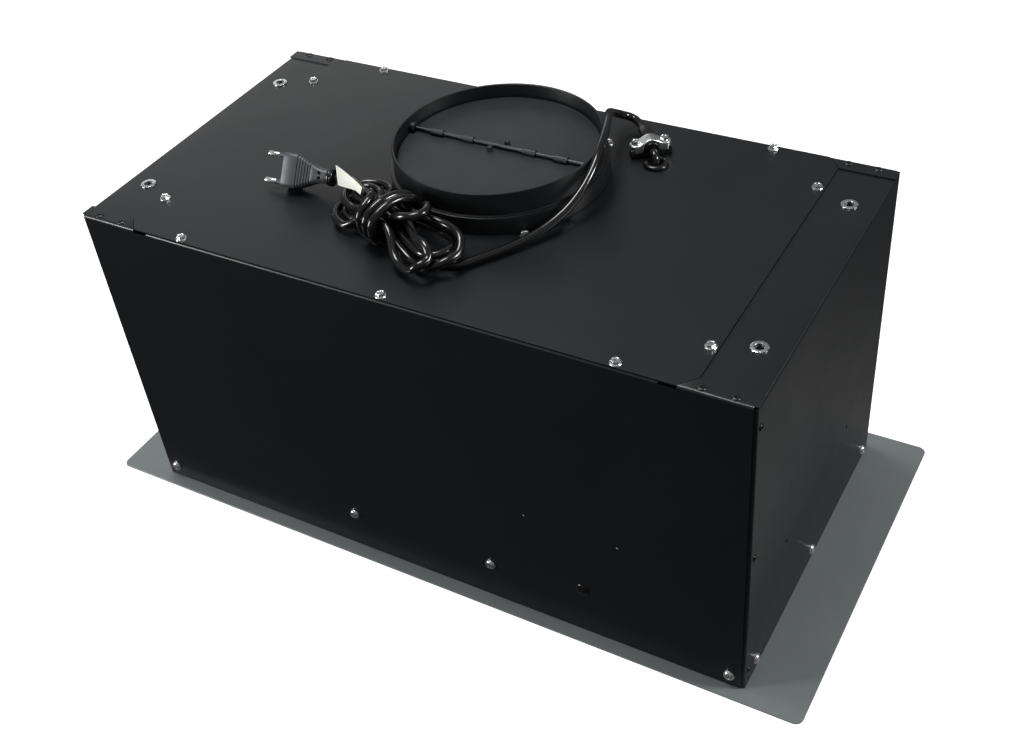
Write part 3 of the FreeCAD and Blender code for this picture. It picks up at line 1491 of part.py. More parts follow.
def make_clamp_saddle():
    """Block under the sleeve with a groove."""
    half = clamp_length / 2
    body = rounded_block(-half, half, -saddle_width / 2, saddle_width / 2, 0, sleeve_height, 2.0)
    cuts = [rod((0, -saddle_width, sleeve_height), (0, 1, 0), sleeve_diameter / 2 + clamp_grip, 2 * saddle_width)]
    for s in (-1, 1):
        cuts.append(rod((s * clamp_screw_span / 2, 0, -1), (0, 0, 1), clearance_hole, sleeve_height + 2))
    return on_clamp(drilled(body, cuts))


def make_cord_clamp():
    """Arched steel bar over the sleeve."""
    half = clamp_length / 2
    inner = sleeve_diameter / 2 + clamp_grip
    wide = clamp_width / 2
    axis_z = sleeve_height
    arch = rod((0, -wide, axis_z), (0, 1, 0), inner + clamp_sheet, clamp_width)
    arch = arch.common(block(-half, half, -wide, wide, clamp_foot_height, 2 * axis_z + inner))
    feet = rounded_block(-half, half, -wide, wide, clamp_foot_height, clamp_foot_height + clamp_sheet, wide - 0.5)
    bar = fused([arch, feet])
    cuts = [rod((0, -wide - 1, axis_z), (0, 1, 0), inner, clamp_width + 2)]
    for s in (-1, 1):
        cuts.append(rod((s * clamp_screw_span / 2, 0, 0), (0, 0, 1), clearance_hole, 4 * axis_z))
    return on_clamp(drilled(bar, cuts))


def make_clamp_screws():
    """Two screws through the clamp's feet and the saddle."""
    seat = top_z + clamp_foot_height + clamp_sheet
    return [
        hex_screw((p.x, p.y, seat), (0, 0, 1), clamp_screw_length, clamp_washer_radius) for p in clamp_screw_places
    ]


def hank_place(along, across, height):
    """A point of the hank: along and across its axis, height over the top plate."""
    a = math.radians(hank_turn)
    x = hank_x + along * math.cos(a) - across * math.sin(a)
    y = hank_y + along * math.sin(a) + across * math.cos(a)
    return V(x, y, top_z + height)


def hank_way(along, across, rise):
    """A direction of the hank as a unit vector."""
    a = math.radians(hank_turn)
    x = along * math.cos(a) - across * math.sin(a)
    y = along * math.sin(a) + across * math.cos(a)
    return V(x, y, rise).normalize()


def hank_stations():
    """Stations of the hank: in under the loops, round every lobe, three wraps and out towards the plug."""
    free = free_points()
    way_in = (free[-1] - free[-2]).normalize()
    stations = [(free[-1], way_in), (free[-1] + way_in * cord_diameter, way_in)]

    def add(along, across, height, way_along, way_across, way_rise=0.0):
        stations.append((hank_place(along, across, height), hank_way(way_along, way_across, way_rise)))

    entry_height = free_route[-1][2]
    add(*hank_entry, entry_height, -1, 0)
    add(waist_half, inner_column, layer_low, -1, 0)
    add(-waist_half, inner_column, layer_low, -1, 0)
    for end, reach, nose, first_half, last_half, shift, height_in, height_out, column, level in lobes:
        k = 1 if end == "right" else -1
        add(k * reach, shift - k * first_half, height_in, k, 0)
        tip_shift = shift + k * (last_half - first_half) / 2
        add(k * (reach + nose), tip_shift, (height_in + height_out) / 2, 0, k)
        add(k * reach, shift + k * last_half, height_out, -k, 0)
        add(k * waist_half, column, level, -k, 0)
        add(-k * waist_half, column, level, -k, 0)
    for station in crossing_stations:
        add(*station)
    for quarter in range(4 * wrap_count):
        a = math.pi / 2 * quarter
        across = wrap_half_width * math.cos(a)
        height = wrap_middle - wrap_half_height * math.sin(a)
        along = wrap_start - wrap_pitch * quarter / 4
        way_across = -wrap_half_width * math.sin(a)
        way_rise = -wrap_half_height * math.cos(a)
        add(along, across, height, -wrap_pitch / (2 * math.pi), way_across, way_rise)
    add(*leaving_station)
    tail = tail_points()
    way_out = (tail[1] - tail[0]).normalize()
    stations.append((tail[0] - way_out * cord_diameter, way_out))
    stations.append((tail[0], way_out))
    return stations


def make_cord_hank():
    """The tied hank as one unbroken wire."""
    solid, path, bend = wound(hank_stations(), cord_diameter / 2)
    print("hank: length %.1f, least radius %.2f" % (path.Length, bend))
    print("hank: least gap %.2f" % least_gap(path, cord_diameter, 1.5))
    return solid


def tag_section(foot, top, along):
    """One end of the tag: a thin rectangle from foot to top, square to the run."""
    low = over_plate(foot)
    high = over_plate(top)
    aside = along.cross(high - low).normalize() * tag_sheet
    return Part.makePolygon([low, high, high + aside, low + aside, low])


def make_cord_tag():
    """Bare paper tag beside the tail, twisted along its length."""
    along = over_plate(tag_far_foot) - over_plate(tag_near_foot)
    ends = [tag_section(tag_near_foot, tag_near_top, along), tag_section(tag_far_foot, tag_far_top, along)]
    return Part.makeLoft(ends, True, True)


# ---------------------------------------------------------------- the nodes
os.makedirs("parts", exist_ok=True)

save("face_frame", make_face_frame())
save("front_panel", make_end_panel(-1))
save("rear_panel", make_end_panel(1))
save("left_side_panel", make_side_panel(-1))
save("right_side_panel", make_side_panel(1))
save("top_plate", make_top_plate())
save("suspension_nuts", make_suspension_nuts())
save("top_plate_screws", [
    hex_screw((x, y, top_z), (0, 0, 1), plate_screw_length) for x, y in top_screw_places + seam_screw_places
])
save("blower_screws", [hex_screw((x, y, top_z), (0, 0, 1), plate_screw_length) for x, y in blower_screw_places])
save("panel_screws", make_panel_screws())
save("black_rivets", make_black_rivets())
save("knockout_plug", make_knockout_plug())

save("duct_collar", make_duct_collar())
save("damper_pin", make_damper_pin())
save("damper_flap_front", make_damper_flap(-1))
save("damper_flap_rear", make_damper_flap(1))

save("scroll_wrap", make_scroll_wrap())
save("scroll_left_cheek", make_scroll_cheek(-1))
save("scroll_right_cheek", make_scroll_cheek(1))
save("inlet_rings", make_inlet_rings())
save("wheel_disc", make_wheel_disc())
save("wheel_rings", make_wheel_rings())
save("wheel_blades", make_wheel_blades())
save("motor_shaft", make_motor_shaft())
save("motor_body", make_motor_body())
save("motor_bracket", make_motor_bracket())
save("motor_screws", make_motor_screws())

save("capacitor", make_capacitor())
save("capacitor_clip", make_capacitor_clip())
save("terminal_box", make_terminal_box())
save("terminal_box_lid", make_terminal_box_lid())
save("terminal_block", make_terminal_block())

save("lamp_housing_left", make_lamp_housing(-1))
save("lamp_housing_right", make_lamp_housing(1))
save("lamp_lenses", make_lamp_lenses())
save("control_bezel", make_control_bezel())
for number, place in enumerate(button_places, 1):
    save("push_button_%d" % number, make_push_button(place))
save("switch_block", make_switch_block())
save("switch_bracket", make_switch_bracket())

save("filter_frame", make_filter_frame())
save("finger_pull", make_finger_pull())
save("filter_mesh", make_filter_mesh())
save("filter_catches", make_filter_catches())

save("cable_grommet", make_cable_grommet())
save("cord_entry", make_cord_entry())
save("cord_sleeve", make_cord_sleeve())
save("clamp_saddle", make_clamp_saddle())
save("cord_clamp", make_cord_clamp())
save("clamp_screws", make_clamp_screws())
save("mains_cord", tube("mains cord", free_points(), cord_diameter))
save("cord_hank", make_cord_hank())
save("cord_tail", tube("cord tail", tail_points(), cord_diameter))
save("plug_body", make_plug_body())
save("plug_pins", make_plug_pins())
save("plug_strain_ring", make_strain_ring())
save("cord_tag", make_cord_tag())
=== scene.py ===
import json
import math

import bmesh
import bpy
from mathutils import Matrix, Vector


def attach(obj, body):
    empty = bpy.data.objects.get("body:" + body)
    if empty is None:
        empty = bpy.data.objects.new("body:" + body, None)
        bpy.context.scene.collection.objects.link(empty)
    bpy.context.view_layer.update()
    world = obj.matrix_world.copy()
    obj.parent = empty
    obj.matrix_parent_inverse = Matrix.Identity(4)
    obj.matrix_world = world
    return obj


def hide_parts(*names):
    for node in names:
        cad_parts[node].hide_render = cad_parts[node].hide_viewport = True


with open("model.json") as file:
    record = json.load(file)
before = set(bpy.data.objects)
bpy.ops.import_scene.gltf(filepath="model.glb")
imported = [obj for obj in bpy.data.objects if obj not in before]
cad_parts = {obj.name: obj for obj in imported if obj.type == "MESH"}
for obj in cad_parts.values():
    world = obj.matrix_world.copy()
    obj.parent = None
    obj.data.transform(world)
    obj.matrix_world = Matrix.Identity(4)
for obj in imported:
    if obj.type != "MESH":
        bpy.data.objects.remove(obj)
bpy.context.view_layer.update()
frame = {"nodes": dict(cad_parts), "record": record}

# Sizes are in millimetres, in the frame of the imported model, and each piece is scaled to metres
# when it is finished.
MM = 0.001
UP = (0, 0, 1)
TOP = 259.5        # upper side of the top plate
FRONT = -134.75    # outer sides of the box
REAR = 130.75
SIDE = 256.0
BOX_MIDDLE = -2.0
DUCT_Y = 27.0      # the collar's middle

nodes = frame["nodes"]
scene = bpy.context.scene


# ---------------------------------------------------------------- shader maths
class Value:
    """A shader value. Used in an expression, it adds the Math nodes."""

    def __init__(self, tree, socket):
        self.tree = tree
        self.socket = socket

    def _math(self, operation, *parts, clamp=False):
        node = self.tree.nodes.new("ShaderNodeMath")
        node.operation = operation
        node.use_clamp = clamp
        for place, part in zip(node.inputs, parts):
            fill(self.tree, place, part)
        return Value(self.tree, node.outputs[0])

    def __add__(self, other):
        return self._math("ADD", self, other)

    def __radd__(self, other):
        return self._math("ADD", other, self)

    def __sub__(self, other):
        return self._math("SUBTRACT", self, other)

    def __rsub__(self, other):
        return self._math("SUBTRACT", other, self)

    def __mul__(self, other):
        return self._math("MULTIPLY", self, other)

    def __rmul__(self, other):
        return self._math("MULTIPLY", other, self)

    def over(self, low, high):
        """0 at low, 1 at high, held there outside."""
        return self._math("DIVIDE", self - low, high - low, clamp=True)

    def wave(self):
        """The sine of the value."""
        return self._math("SINE", self)


def fill(tree, place, value):
    """Links a value into a socket, or sets the socket to a number, a vector or a colour."""
    if isinstance(value, Value):
        tree.links.new(value.socket, place)
    elif place.type == "RGBA":
        place.default_value = (*value, 1)
    else:
        place.default_value = value


def grey_stops(ramp, stops):
    """Gives a colour ramp its stops, each a place and a level of faintly blue grey."""
    while len(ramp.elements) < len(stops):
        ramp.elements.new(0.5)
    for stop, (place, level) in zip(ramp.elements, stops):
        stop.position = place
        stop.color = (level, level, level * 1.02, 1)


class Nodes:
    """A node tree that starts empty."""

    def __init__(self, tree):
        self.tree = tree
        self.tree.nodes.clear()

    def node(self, kind, settings, sockets, out=0):
        """Any node: its settings are set first, then its sockets, by name or number."""
        node = self.tree.nodes.new("ShaderNode" + kind)
        for name, value in settings.items():
            if name == "stops":
                grey_stops(node.color_ramp, value)
            else:
                setattr(node, name, value)
        for name, value in sockets.items():
            fill(self.tree, node.inputs[name], value)
        return None if out is None else Value(self.tree, node.outputs[out])


class Finish(Nodes):
    """A material with one Principled shader, whose sockets take numbers, colours or values."""

    def __init__(self, name, colour, roughness, metallic=0.0, coat=0.0, specular=0.5):
        self.material = bpy.data.materials.new(name)
        self.material.use_nodes = True
        self.material.diffuse_color = (*colour, 1)
        super().__init__(self.material.node_tree)
        self.shader = self.tree.nodes.new("ShaderNodeBsdfPrincipled")
        self.node("OutputMaterial", {}, {"Surface": Value(self.tree, self.shader.outputs[0])}, None)
        self.places = self.node("TexCoord", {}, {}, "Object")
        self.put("Base Color", colour)
        self.put("Roughness", roughness)
        self.put("Metallic", metallic)
        self.put("Coat Weight", coat)
        self.put("Coat Roughness", 0.1)
        self.put("Specular IOR Level", specular)

    def put(self, socket, value):
        """Sets or links one of the shader's sockets."""
        fill(self.tree, self.shader.inputs[socket], value)

    def axis(self, letter):
        """One coordinate of the place on the piece, in metres."""
        return self.node("SeparateXYZ", {}, {"Vector": self.places}, letter)

    def noise(self, per_metre, detail=2.0, roughness=0.5, stretch=(1, 1, 1)):
        """Cloudy noise with that many patches to the metre."""
        spread = self.node("Mapping", {}, {"Vector": self.places, "Scale": stretch})
        return self.node("TexNoise", {}, {
            "Vector": spread, "Scale": per_metre, "Detail": detail, "Roughness": roughness})

    def spangle(self, per_metre):
        """A value that differs from one crystal of zinc to the next."""
        cells = self.node("TexVoronoi", {}, {"Vector": self.places, "Scale": per_metre}, "Color")
        return self.node("SeparateColor", {}, {"Color": cells})

    def blended(self, share, first, second):
        """A colour between two, by a value from 0 to 1."""
        return self.node("Mix", {"data_type": "RGBA"}, {"Factor": share, 6: first, 7: second}, 2)

    def relief(self, height, depth, over=None):
        """Bumps the surface by a height from 0 to 1 that stands depth metres high, over another."""
        below = {} if over is None else {"Normal": over}
        normal = self.node("Bump", {}, {"Height": height, "Distance": depth, **below})
        self.put("Normal", normal)
        return normal


def powder_coat(name, dark, light, roughness):
    """Satin powder coat on thin sheet: fine orange peel, slow waves and a trace of dust."""
    f = Finish(name, dark, roughness)
    clouds = f.noise(9, 3.0)
    f.put("Base Color", f.blended(clouds.over(0.3, 0.75), dark, light))
    smear = f.noise(38, 4.0, 0.6)
    f.put("Roughness", roughness - 0.03 + 0.08 * smear)
    waves = f.relief(f.noise(7, 1.0), 0.0011)
    f.relief(f.noise(1500, 2.0), 0.000018, waves)
    return f.material


def plated(name, colour, tint, roughness):
    """Bright plating with a slight change of tint and fine rubbing."""
    f = Finish(name, colour, roughness, metallic=1.0)
    f.put("Base Color", f.blended(f.noise(220, 3.0).over(0.35, 0.7), colour, tint))
    f.put("Roughness", roughness - 0.05 + 0.14 * f.noise(900, 3.0))
    f.relief(f.noise(2600, 2.0), 0.00001)
    return f.material


def galvanised(name):
    """Galvanised sheet with its spangle."""
    f = Finish(name, (0.5, 0.52, 0.53), 0.4, metallic=0.85)
    spangle = f.spangle(95)
    f.put("Base Color", f.blended(spangle, (0.4, 0.42, 0.43), (0.62, 0.64, 0.65)))
    f.put("Roughness", 0.3 + 0.2 * spangle)
    f.relief(f.noise(700, 2.0), 0.00002)
    return f.material


def moulded(name, colour, light, roughness, grain=1200, depth=0.00002, coat=0.0):
    """Moulded plastic: a fine grain and slightly uneven gloss."""
    f = Finish(name, colour, roughness, coat=coat)
    f.put("Base Color", f.blended(f.noise(60, 3.0).over(0.3, 0.7), colour, light))
    f.put("Roughness", roughness - 0.04 + 0.1 * f.noise(160, 3.0))
    f.relief(f.noise(grain, 2.0), depth)
    return f.material


def drawn_metal(name, colour, light, roughness, stretch):
    """Rolled or drawn metal with fine lines along one direction."""
    f = Finish(name, colour, roughness, metallic=1.0)
    lines = f.noise(900, 3.0, 0.6, stretch)
    f.put("Base Color", f.blended(lines.over(0.3, 0.7), colour, light))
    f.put("Roughness", roughness - 0.06 + 0.16 * lines)
    f.relief(lines, 0.000015)
    return f.material


def paper_finish(name):
    """Uncoated paper with faint fibres."""
    f = Finish(name, (0.78, 0.79, 0.71), 0.8, specular=0.25)
    fibres = f.noise(1500, 4.0, 0.7, (1, 0.3, 1))
    f.put("Base Color", f.blended(fibres.over(0.3, 0.75), (0.7, 0.71, 0.63), (0.86, 0.87, 0.8)))
    f.relief(fibres, 0.00003)
    return f.material


def frosted(name):
    """Frosted lens: pale, with a fine ribbed relief."""
    f = Finish(name, (0.82, 0.84, 0.84), 0.3, coat=0.4)
    ribs = (f.axis("X") * 1500).wave() * (f.axis("Y") * 1500).wave()
    height = ribs * 0.5 + 0.5
    f.put("Base Color", f.blended(height, (0.74, 0.76, 0.77), (0.86, 0.88, 0.88)))
    f.relief(height, 0.0002)
    return f.material


finishes = {
    "black_sheet": powder_coat("Black powder coat",
        (0.0042, 0.0052, 0.0062), (0.0062, 0.0072, 0.0085), 0.34),
    "grey_plate": powder_coat("Grey plate paint", (0.165, 0.185, 0.185), (0.2, 0.222, 0.22), 0.42),
    "zinc_screw": plated("Bright zinc", (0.78, 0.78, 0.76), (0.7, 0.72, 0.74), 0.24),
    "black_rivet": moulded("Black rivet", (0.004, 0.004, 0.0045), (0.007, 0.007, 0.0075), 0.3),
    "black_plug": moulded("Black plug", (0.003, 0.003, 0.0035), (0.006, 0.006, 0.0065), 0.22),
    "collar_plastic": moulded("Collar plastic", (0.0045, 0.005, 0.006), (0.008, 0.009, 0.01), 0.36),
    "flap_plastic": moulded("Flap plastic", (0.009, 0.0105, 0.0125), (0.013, 0.015, 0.0175), 0.46),
    "steel_pin": drawn_metal("Drawn pin",
        (0.05, 0.052, 0.056), (0.085, 0.088, 0.092), 0.36, (0.02, 1, 1)),
    "clamp_steel": plated("Clamp steel", (0.72, 0.73, 0.73), (0.62, 0.63, 0.64), 0.3),
    "saddle_plastic": moulded("Saddle plastic", (0.006, 0.006, 0.007), (0.01, 0.01, 0.011), 0.42),
    "grommet_rubber": moulded("Grommet rubber",
        (0.003, 0.003, 0.0035), (0.006, 0.006, 0.0065), 0.22),
    "cord_jacket": moulded("Cord jacket",
        (0.003, 0.003, 0.0035), (0.0055, 0.0055, 0.006), 0.17, 500, 0.00001, 0.25),
    "sleeve_plastic": moulded("Sleeve plastic",
        (0.004, 0.004, 0.0045), (0.007, 0.007, 0.0075), 0.26),
    # The plug plastic is dark grey, much lighter than the plug's real black: a painted sheen that
    # stands in for the glossy highlight on its flat face.
    "plug_plastic": moulded("Plug plastic with painted sheen",
        (0.05, 0.055, 0.06), (0.062, 0.068, 0.074), 0.4, 1800, 0.00002),
    "plug_metal": plated("Nickel pins", (0.8, 0.8, 0.78), (0.72, 0.72, 0.7), 0.2),
    "paper": paper_finish("Bare paper"),
    "galvanised": galvanised("Galvanised sheet"),
    "wheel_plastic": moulded("Wheel plastic", (0.06, 0.06, 0.065), (0.085, 0.085, 0.09), 0.5),
    "shaft_steel": drawn_metal("Ground shaft",
        (0.55, 0.55, 0.56), (0.68, 0.68, 0.69), 0.25, (0.02, 1, 1)),
    "motor_case": powder_coat("Motor paint", (0.1, 0.105, 0.11), (0.13, 0.135, 0.14), 0.45),
    "capacitor_case": moulded("Capacitor case", (0.7, 0.7, 0.67), (0.78, 0.78, 0.75), 0.4),
    "terminal_plastic": moulded("Terminal plastic", (0.66, 0.65, 0.6), (0.75, 0.74, 0.7), 0.45),
    "lamp_case": moulded("Lamp can", (0.66, 0.66, 0.64), (0.74, 0.74, 0.72), 0.45),
    "lamp_glass": frosted("Frosted lens"),
    "bezel_plastic": moulded("Bezel plastic", (0.014, 0.014, 0.016), (0.02, 0.02, 0.022), 0.25),
    "button_plastic": moulded("Button plastic", (0.33, 0.34, 0.35), (0.4, 0.41, 0.42), 0.28),
    "switch_plastic": moulded("Switch plastic", (0.03, 0.03, 0.033), (0.045, 0.045, 0.05), 0.5),
    "filter_metal": drawn_metal("Filter aluminium",
        (0.6, 0.61, 0.62), (0.74, 0.75, 0.76), 0.32, (0.03, 1, 1)),
}

for row in frame["record"]["subparts"]:
    carried = nodes[row["node"]]
    carried.data.materials.clear()
    carried.data.materials.append(finishes[row["material_slot"]])


# ---------------------------------------------------------------- mesh helpers
DOUBLES = 0.0005


def tidied(bm):
    """Joins doubles and turns the faces outwards."""
    bmesh.ops.remove_doubles(bm, verts=bm.verts, dist=DOUBLES)
    bmesh.ops.recalc_face_normals(bm, faces=bm.faces)
    bm.normal_update()


def softened(bm, width, segments, angle):
    """Rounds every edge sharper than angle."""
    tidied(bm)
    sharp = [e for e in bm.edges
             if len(e.link_faces) == 2 and e.calc_face_angle(0) > math.radians(angle)]
    bmesh.ops.bevel(bm, geom=sharp, offset=width, offset_type="OFFSET", segments=segments,
                    profile=0.5, affect="EDGES", clamp_overlap=True, material=-1)


def frame_at(place, axis, turn=0.0):
    """The matrix that lays a shape drawn on Z at place, along axis."""
    lay = Vector((0, 0, 1)).rotation_difference(Vector(axis)).to_matrix().to_4x4()
    return Matrix.Translation(Vector(place)) @ lay @ Matrix.Rotation(turn, 4, "Z")


def laid(bm, matrix, corners):
    """Lays the corners by the matrix."""
    bmesh.ops.transform(bm, matrix=matrix, verts=corners)


def spun(bm, outline, steps, matrix):
    """Spins a closed outline of radius and height round Z and lays it by the matrix."""
    old = set(bm.verts)
    corners = [bm.verts.new((r, 0, h)) for r, h in outline]
    edges = [bm.edges.new(pair) for pair in zip(corners, corners[1:] + corners[:1])]
    bmesh.ops.spin(bm, geom=corners + edges, cent=(0, 0, 0), axis=UP, angle=2 * math.pi,
                   steps=steps, use_merge=True)
    bmesh.ops.remove_doubles(bm, verts=[v for v in bm.verts if v not in old], dist=DOUBLES)
    laid(bm, matrix, [v for v in bm.verts if v not in old])


def pushed(bm, outline, low, high, matrix):
    """Pushes a flat outline in X and Y from low to high and lays it by the matrix."""
    corners = [bm.verts.new((x, y, low)) for x, y in outline]
    grown = bmesh.ops.extrude_face_region(bm, geom=[bm.faces.new(corners)])
    top = [v for v in grown["geom"] if isinstance(v, bmesh.types.BMVert)]
    bmesh.ops.translate(bm, vec=(0, 0, high - low), verts=top)
    laid(bm, matrix, corners + top)


def block(bm, size, place, matrix):
    """A small rib of that size, centred on place and then laid by the matrix."""
    corners = bmesh.ops.create_cube(bm, size=1)["verts"]
    bmesh.ops.scale(bm, vec=size, verts=corners)
    bmesh.ops.translate(bm, vec=place, verts=corners)
    laid(bm, matrix, corners)


def finished(name, bm, slot, replaced=(), crease=35.0):
    """Turns a bmesh in millimetres into a piece that rides on the housing."""
    tidied(bm)
    bmesh.ops.scale(bm, vec=(MM, MM, MM), verts=bm.verts)
    mesh = bpy.data.meshes.new(name)
    bm.to_mesh(mesh)
    bm.free()
    mesh.shade_smooth()
    mesh.set_sharp_from_angle(angle=math.radians(crease))
    mesh.materials.append(finishes[slot])
    piece = bpy.data.objects.new(name, mesh)
    scene.collection.objects.link(piece)
    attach(piece, "housing")
    if replaced:
        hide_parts(*replaced)
    return piece


# ---------------------------------------------------------------- mains lead
CORD = 6.0


def over_plate(x, y, height):
    """A point at a height over the top plate."""
    return Vector((x, y, TOP + height))


# The free lead from the sleeve, over the collar's rim and down its right side to the hank, as
# places over the top plate.
free_lead = [
    (71.9, 108.9, 6.3), (67.0, 115.1, 6.3), (60.0, 119.0, 7.0), (53.6, 114.4, 10.6),
    (52.0, 105.5, 16.4), (54.0, 94.5, 23.6), (59.4, 81.5, 30.4), (66.4, 65.5, 33.8),
    (72.6, 49.0, 34.2), (77.2, 32.0, 32.6), (79.6, 17.0, 27.0), (78.6, 2.5, 19.5),
    (74.6, -12.5, 12.0), (69.5, -26.0, 8.0), (63.5, -39.0, 5.4), (56.0, -52.5, 4.0),
    (48.0, -65.0, 3.5), (40.2, -76.0, 3.4), (36.2, -80.4, 3.4),
]

# The hank's middle and turn, and the heights and columns of the runs through its waist.
HANK_X = -31.0
HANK_Y = -70.0
HANK_TURN = math.radians(-22.8)
LOW = 13.4
HIGH = 20.0
INNER = 3.6
OUTER = 11.0
WAIST = 8.0
WAY_IN = (50.0, 4.0, 3.4)
# The hank's lobes, each with its end, reach, nose, first and last half widths, sideways shift,
# heights in and out, and the column and height of the run through the waist that follows.
lobes = (
    ("left", 33.0, 9.0, 7.6, 7.6, -5.0, 6.0, 6.0, -INNER, LOW),
    ("right", 44.0, 11.0, 9.0, 15.5, 4.0, 10.2, 10.2, OUTER, LOW),
    ("left", 30.0, 19.0, 16.0, 16.0, -5.0, 5.5, 5.5, -OUTER, LOW),
    ("right", 48.0, 17.0, 16.0, 15.5, 5.0, 5.0, 17.7, OUTER, HIGH),
    ("left", 31.0, 18.0, 16.0, 16.0, 5.0, 14.5, 14.5, -OUTER, HIGH),
    ("right", 47.0, 12.0, 8.5, 7.5, -12.0, 7.0, 20.0, INNER, HIGH),
    ("left", 33.0, 9.0, 7.6, 7.6, 5.0, 15.5, 15.5, -INNER, HIGH),
)
# The turns wrapped round the waist, and the last points of the lead, which run to the plug.
WRAP_HALF_WIDTH = 20.0
WRAP_HALF_HEIGHT = 13.6
WRAP_MIDDLE = 16.7
WRAP_PITCH = 6.9
WRAP_COUNT = 3
WRAP_START = 14.0
tail = [
    (-60.0, -57.6, 23.2), (-68.3, -52.3, 23.0), (-76.5, -46.5, 21.0), (-83.9, -39.2, 12.0),
    (-95.8, -40.6, 12.4),
]


def hank_place(along, across, height):
    """A point by its distances along and across the hank and over the plate."""
    c, s = math.cos(HANK_TURN), math.sin(HANK_TURN)
    return over_plate(HANK_X + along * c - across * s, HANK_Y + along * s + across * c, height)


def hank_way(along, across, rise=0.0):
    """A direction along and across the hank."""
    c, s = math.cos(HANK_TURN), math.sin(HANK_TURN)
    return Vector((along * c - across * s, along * s + across * c, rise)).normalized()


def hank_stations():
    """The points and directions that the lead runs through in the hank, in order."""
    start, end = over_plate(*free_lead[-2]), over_plate(*tail[0])
    way_in = (start - over_plate(*free_lead[-3])).normalized()
    way_out = (over_plate(*tail[1]) - end).normalized()
    stations = [(start + way_in * CORD, way_in), (hank_place(*WAY_IN), hank_way(-1, 0))]
    for along in (WAIST, -WAIST):
        stations.append((hank_place(along, INNER, LOW), hank_way(-1, 0)))
    for side, reach, nose, first, last, shift, height_in, height_out, column, level in lobes:
        k = 1 if side == "right" else -1
        stations.append((hank_place(k * reach, shift - k * first, height_in), hank_way(k, 0)))
        tip = shift + k * (last - first) / 2
        middle = (height_in + height_out) / 2
        stations.append((hank_place(k * (reach + nose), tip, middle), hank_way(0, k)))
        stations.append((hank_place(k * reach, shift + k * last, height_out), hank_way(-k, 0)))
        for along in (k * WAIST, -k * WAIST):
            stations.append((hank_place(along, column, level), hank_way(-k, 0)))
    stations.append((hank_place(22.0, -2.6, 26.8), hank_way(0.92, 0.22, 0.2)))
    stations.append((hank_place(31.5, 7.0, 28.6), hank_way(0, 1, 0)))
    stations.append((hank_place(23.5, 17.0, 26.5), hank_way(-0.85, 0.42, -0.32)))
    for quarter in range(4 * WRAP_COUNT - 1):
        c, s = math.cos(math.pi / 2 * quarter), math.sin(math.pi / 2 * quarter)
        place = hank_place(WRAP_START - WRAP_PITCH * quarter / 4, WRAP_HALF_WIDTH * c,
                           WRAP_MIDDLE - WRAP_HALF_HEIGHT * s)
        way = hank_way(-WRAP_PITCH / (2 * math.pi), -WRAP_HALF_WIDTH * s, -WRAP_HALF_HEIGHT * c)
        stations.append((place, way))
    stations.append((hank_place(-14.5, -2.5, 27.8), hank_way(-0.88, 0.33, -0.33)))
    stations.append((end - way_out * CORD, way_out))
    return stations


def turning_points(stations):
    """Two corners between each station and the next, one on each station's direction."""
    corners = []
    for (start, way), (end, end_way) in zip(stations, stations[1:]):
        span = end - start
        ways = way + end_way
        bend = 1 - way.dot(end_way)
        if bend < 1e-6:
            reach = span.dot(span) / (4 * span.dot(way))
        else:
            root = math.sqrt(span.dot(ways) ** 2 + 2 * bend * span.dot(span))
            reach = (root - span.dot(ways)) / (2 * bend)
        corners += [start + way * reach, end - end_way * reach]
    return corners


def smooth_line(name, points, thickness):
    """An open NURBS line of round section through its control points."""
    curve = bpy.data.curves.new(name, "CURVE")
    curve.dimensions = "3D"
    spline = curve.splines.new("NURBS")
    spline.points.add(len(points) - 1)
    for control, point in zip(spline.points, points):
        control.co = (*(point * MM), 1)
    spline.order_u = 3
    spline.use_endpoint_u = True
    spline.resolution_u = 7
    curve.bevel_depth = thickness / 2 * MM
    curve.bevel_resolution = 6
    curve.use_fill_caps = True
    line = bpy.data.objects.new(name, curve)
    scene.collection.objects.link(line)
    return line


route = [over_plate(*p) for p in free_lead[:-1]]
route += turning_points(hank_stations())
route += [over_plate(*p) for p in tail]
lead = smooth_line("mains_lead", route, CORD)
lead.data.materials.append(finishes["cord_jacket"])
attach(lead, "housing")
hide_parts("mains_cord", "cord_hank", "cord_tail")


# ---------------------------------------------------------------- loops and strips
def loop_of(bm, points):
    """A closed loop of edges through the points."""
    corners = [bm.verts.new(point) for point in points]
    return [bm.edges.new(pair) for pair in zip(corners, corners[1:] + corners[:1])]


def skinned(bm, loops, caps=(False, False)):
    """Extrudes a loop through the others, closes the ends asked for and gives the new corners."""
    first = ring = loop_of(bm, loops[0])
    corners = [edge.verts[0] for edge in first]
    made = list(corners)
    for points in loops[1:]:
        grown = bmesh.ops.extrude_edge_only(bm, edges=ring)["geom"]
        fresh = {part for part in grown if isinstance(part, bmesh.types.BMVert)}
        ring = [part for part in grown
                if isinstance(part, bmesh.types.BMEdge) and set(part.verts) <= fresh]
        corners = [next(e.other_vert(v) for e in v.link_edges if e.other_vert(v) in fresh)
                   for v in corners]
        for corner, point in zip(corners, points):
            corner.co = point
        made += corners
    for wanted, edges in zip(caps, (first, ring)):
        if wanted:
            bmesh.ops.contextual_create(bm, geom=edges)
    return made


def round_points(reach, height, count):
    """Points round Z whose radius is given by a function of their number and angle."""
    points = []
    for k in range(count):
        a = k * 2 * math.pi / count
        points.append((reach(k, a) * math.cos(a), reach(k, a) * math.sin(a), height))
    return points


def circle(radius, height, count=24):
    """A circle of that many points."""
    return round_points(lambda k, a: radius, height, count)


def hexagon(radius, height):
    """A hexagon of 24 points with its corners at radius."""
    flat = radius * math.cos(math.pi / 6)
    return round_points(lambda k, a: flat / math.cos(a % (math.pi / 3) - math.pi / 6), height, 24)


def notched(radius, notch, height):
    """A circle of 72 points with twelve notches."""
    return round_points(lambda k, a: radius - (0 if k % 6 else notch), height, 72)


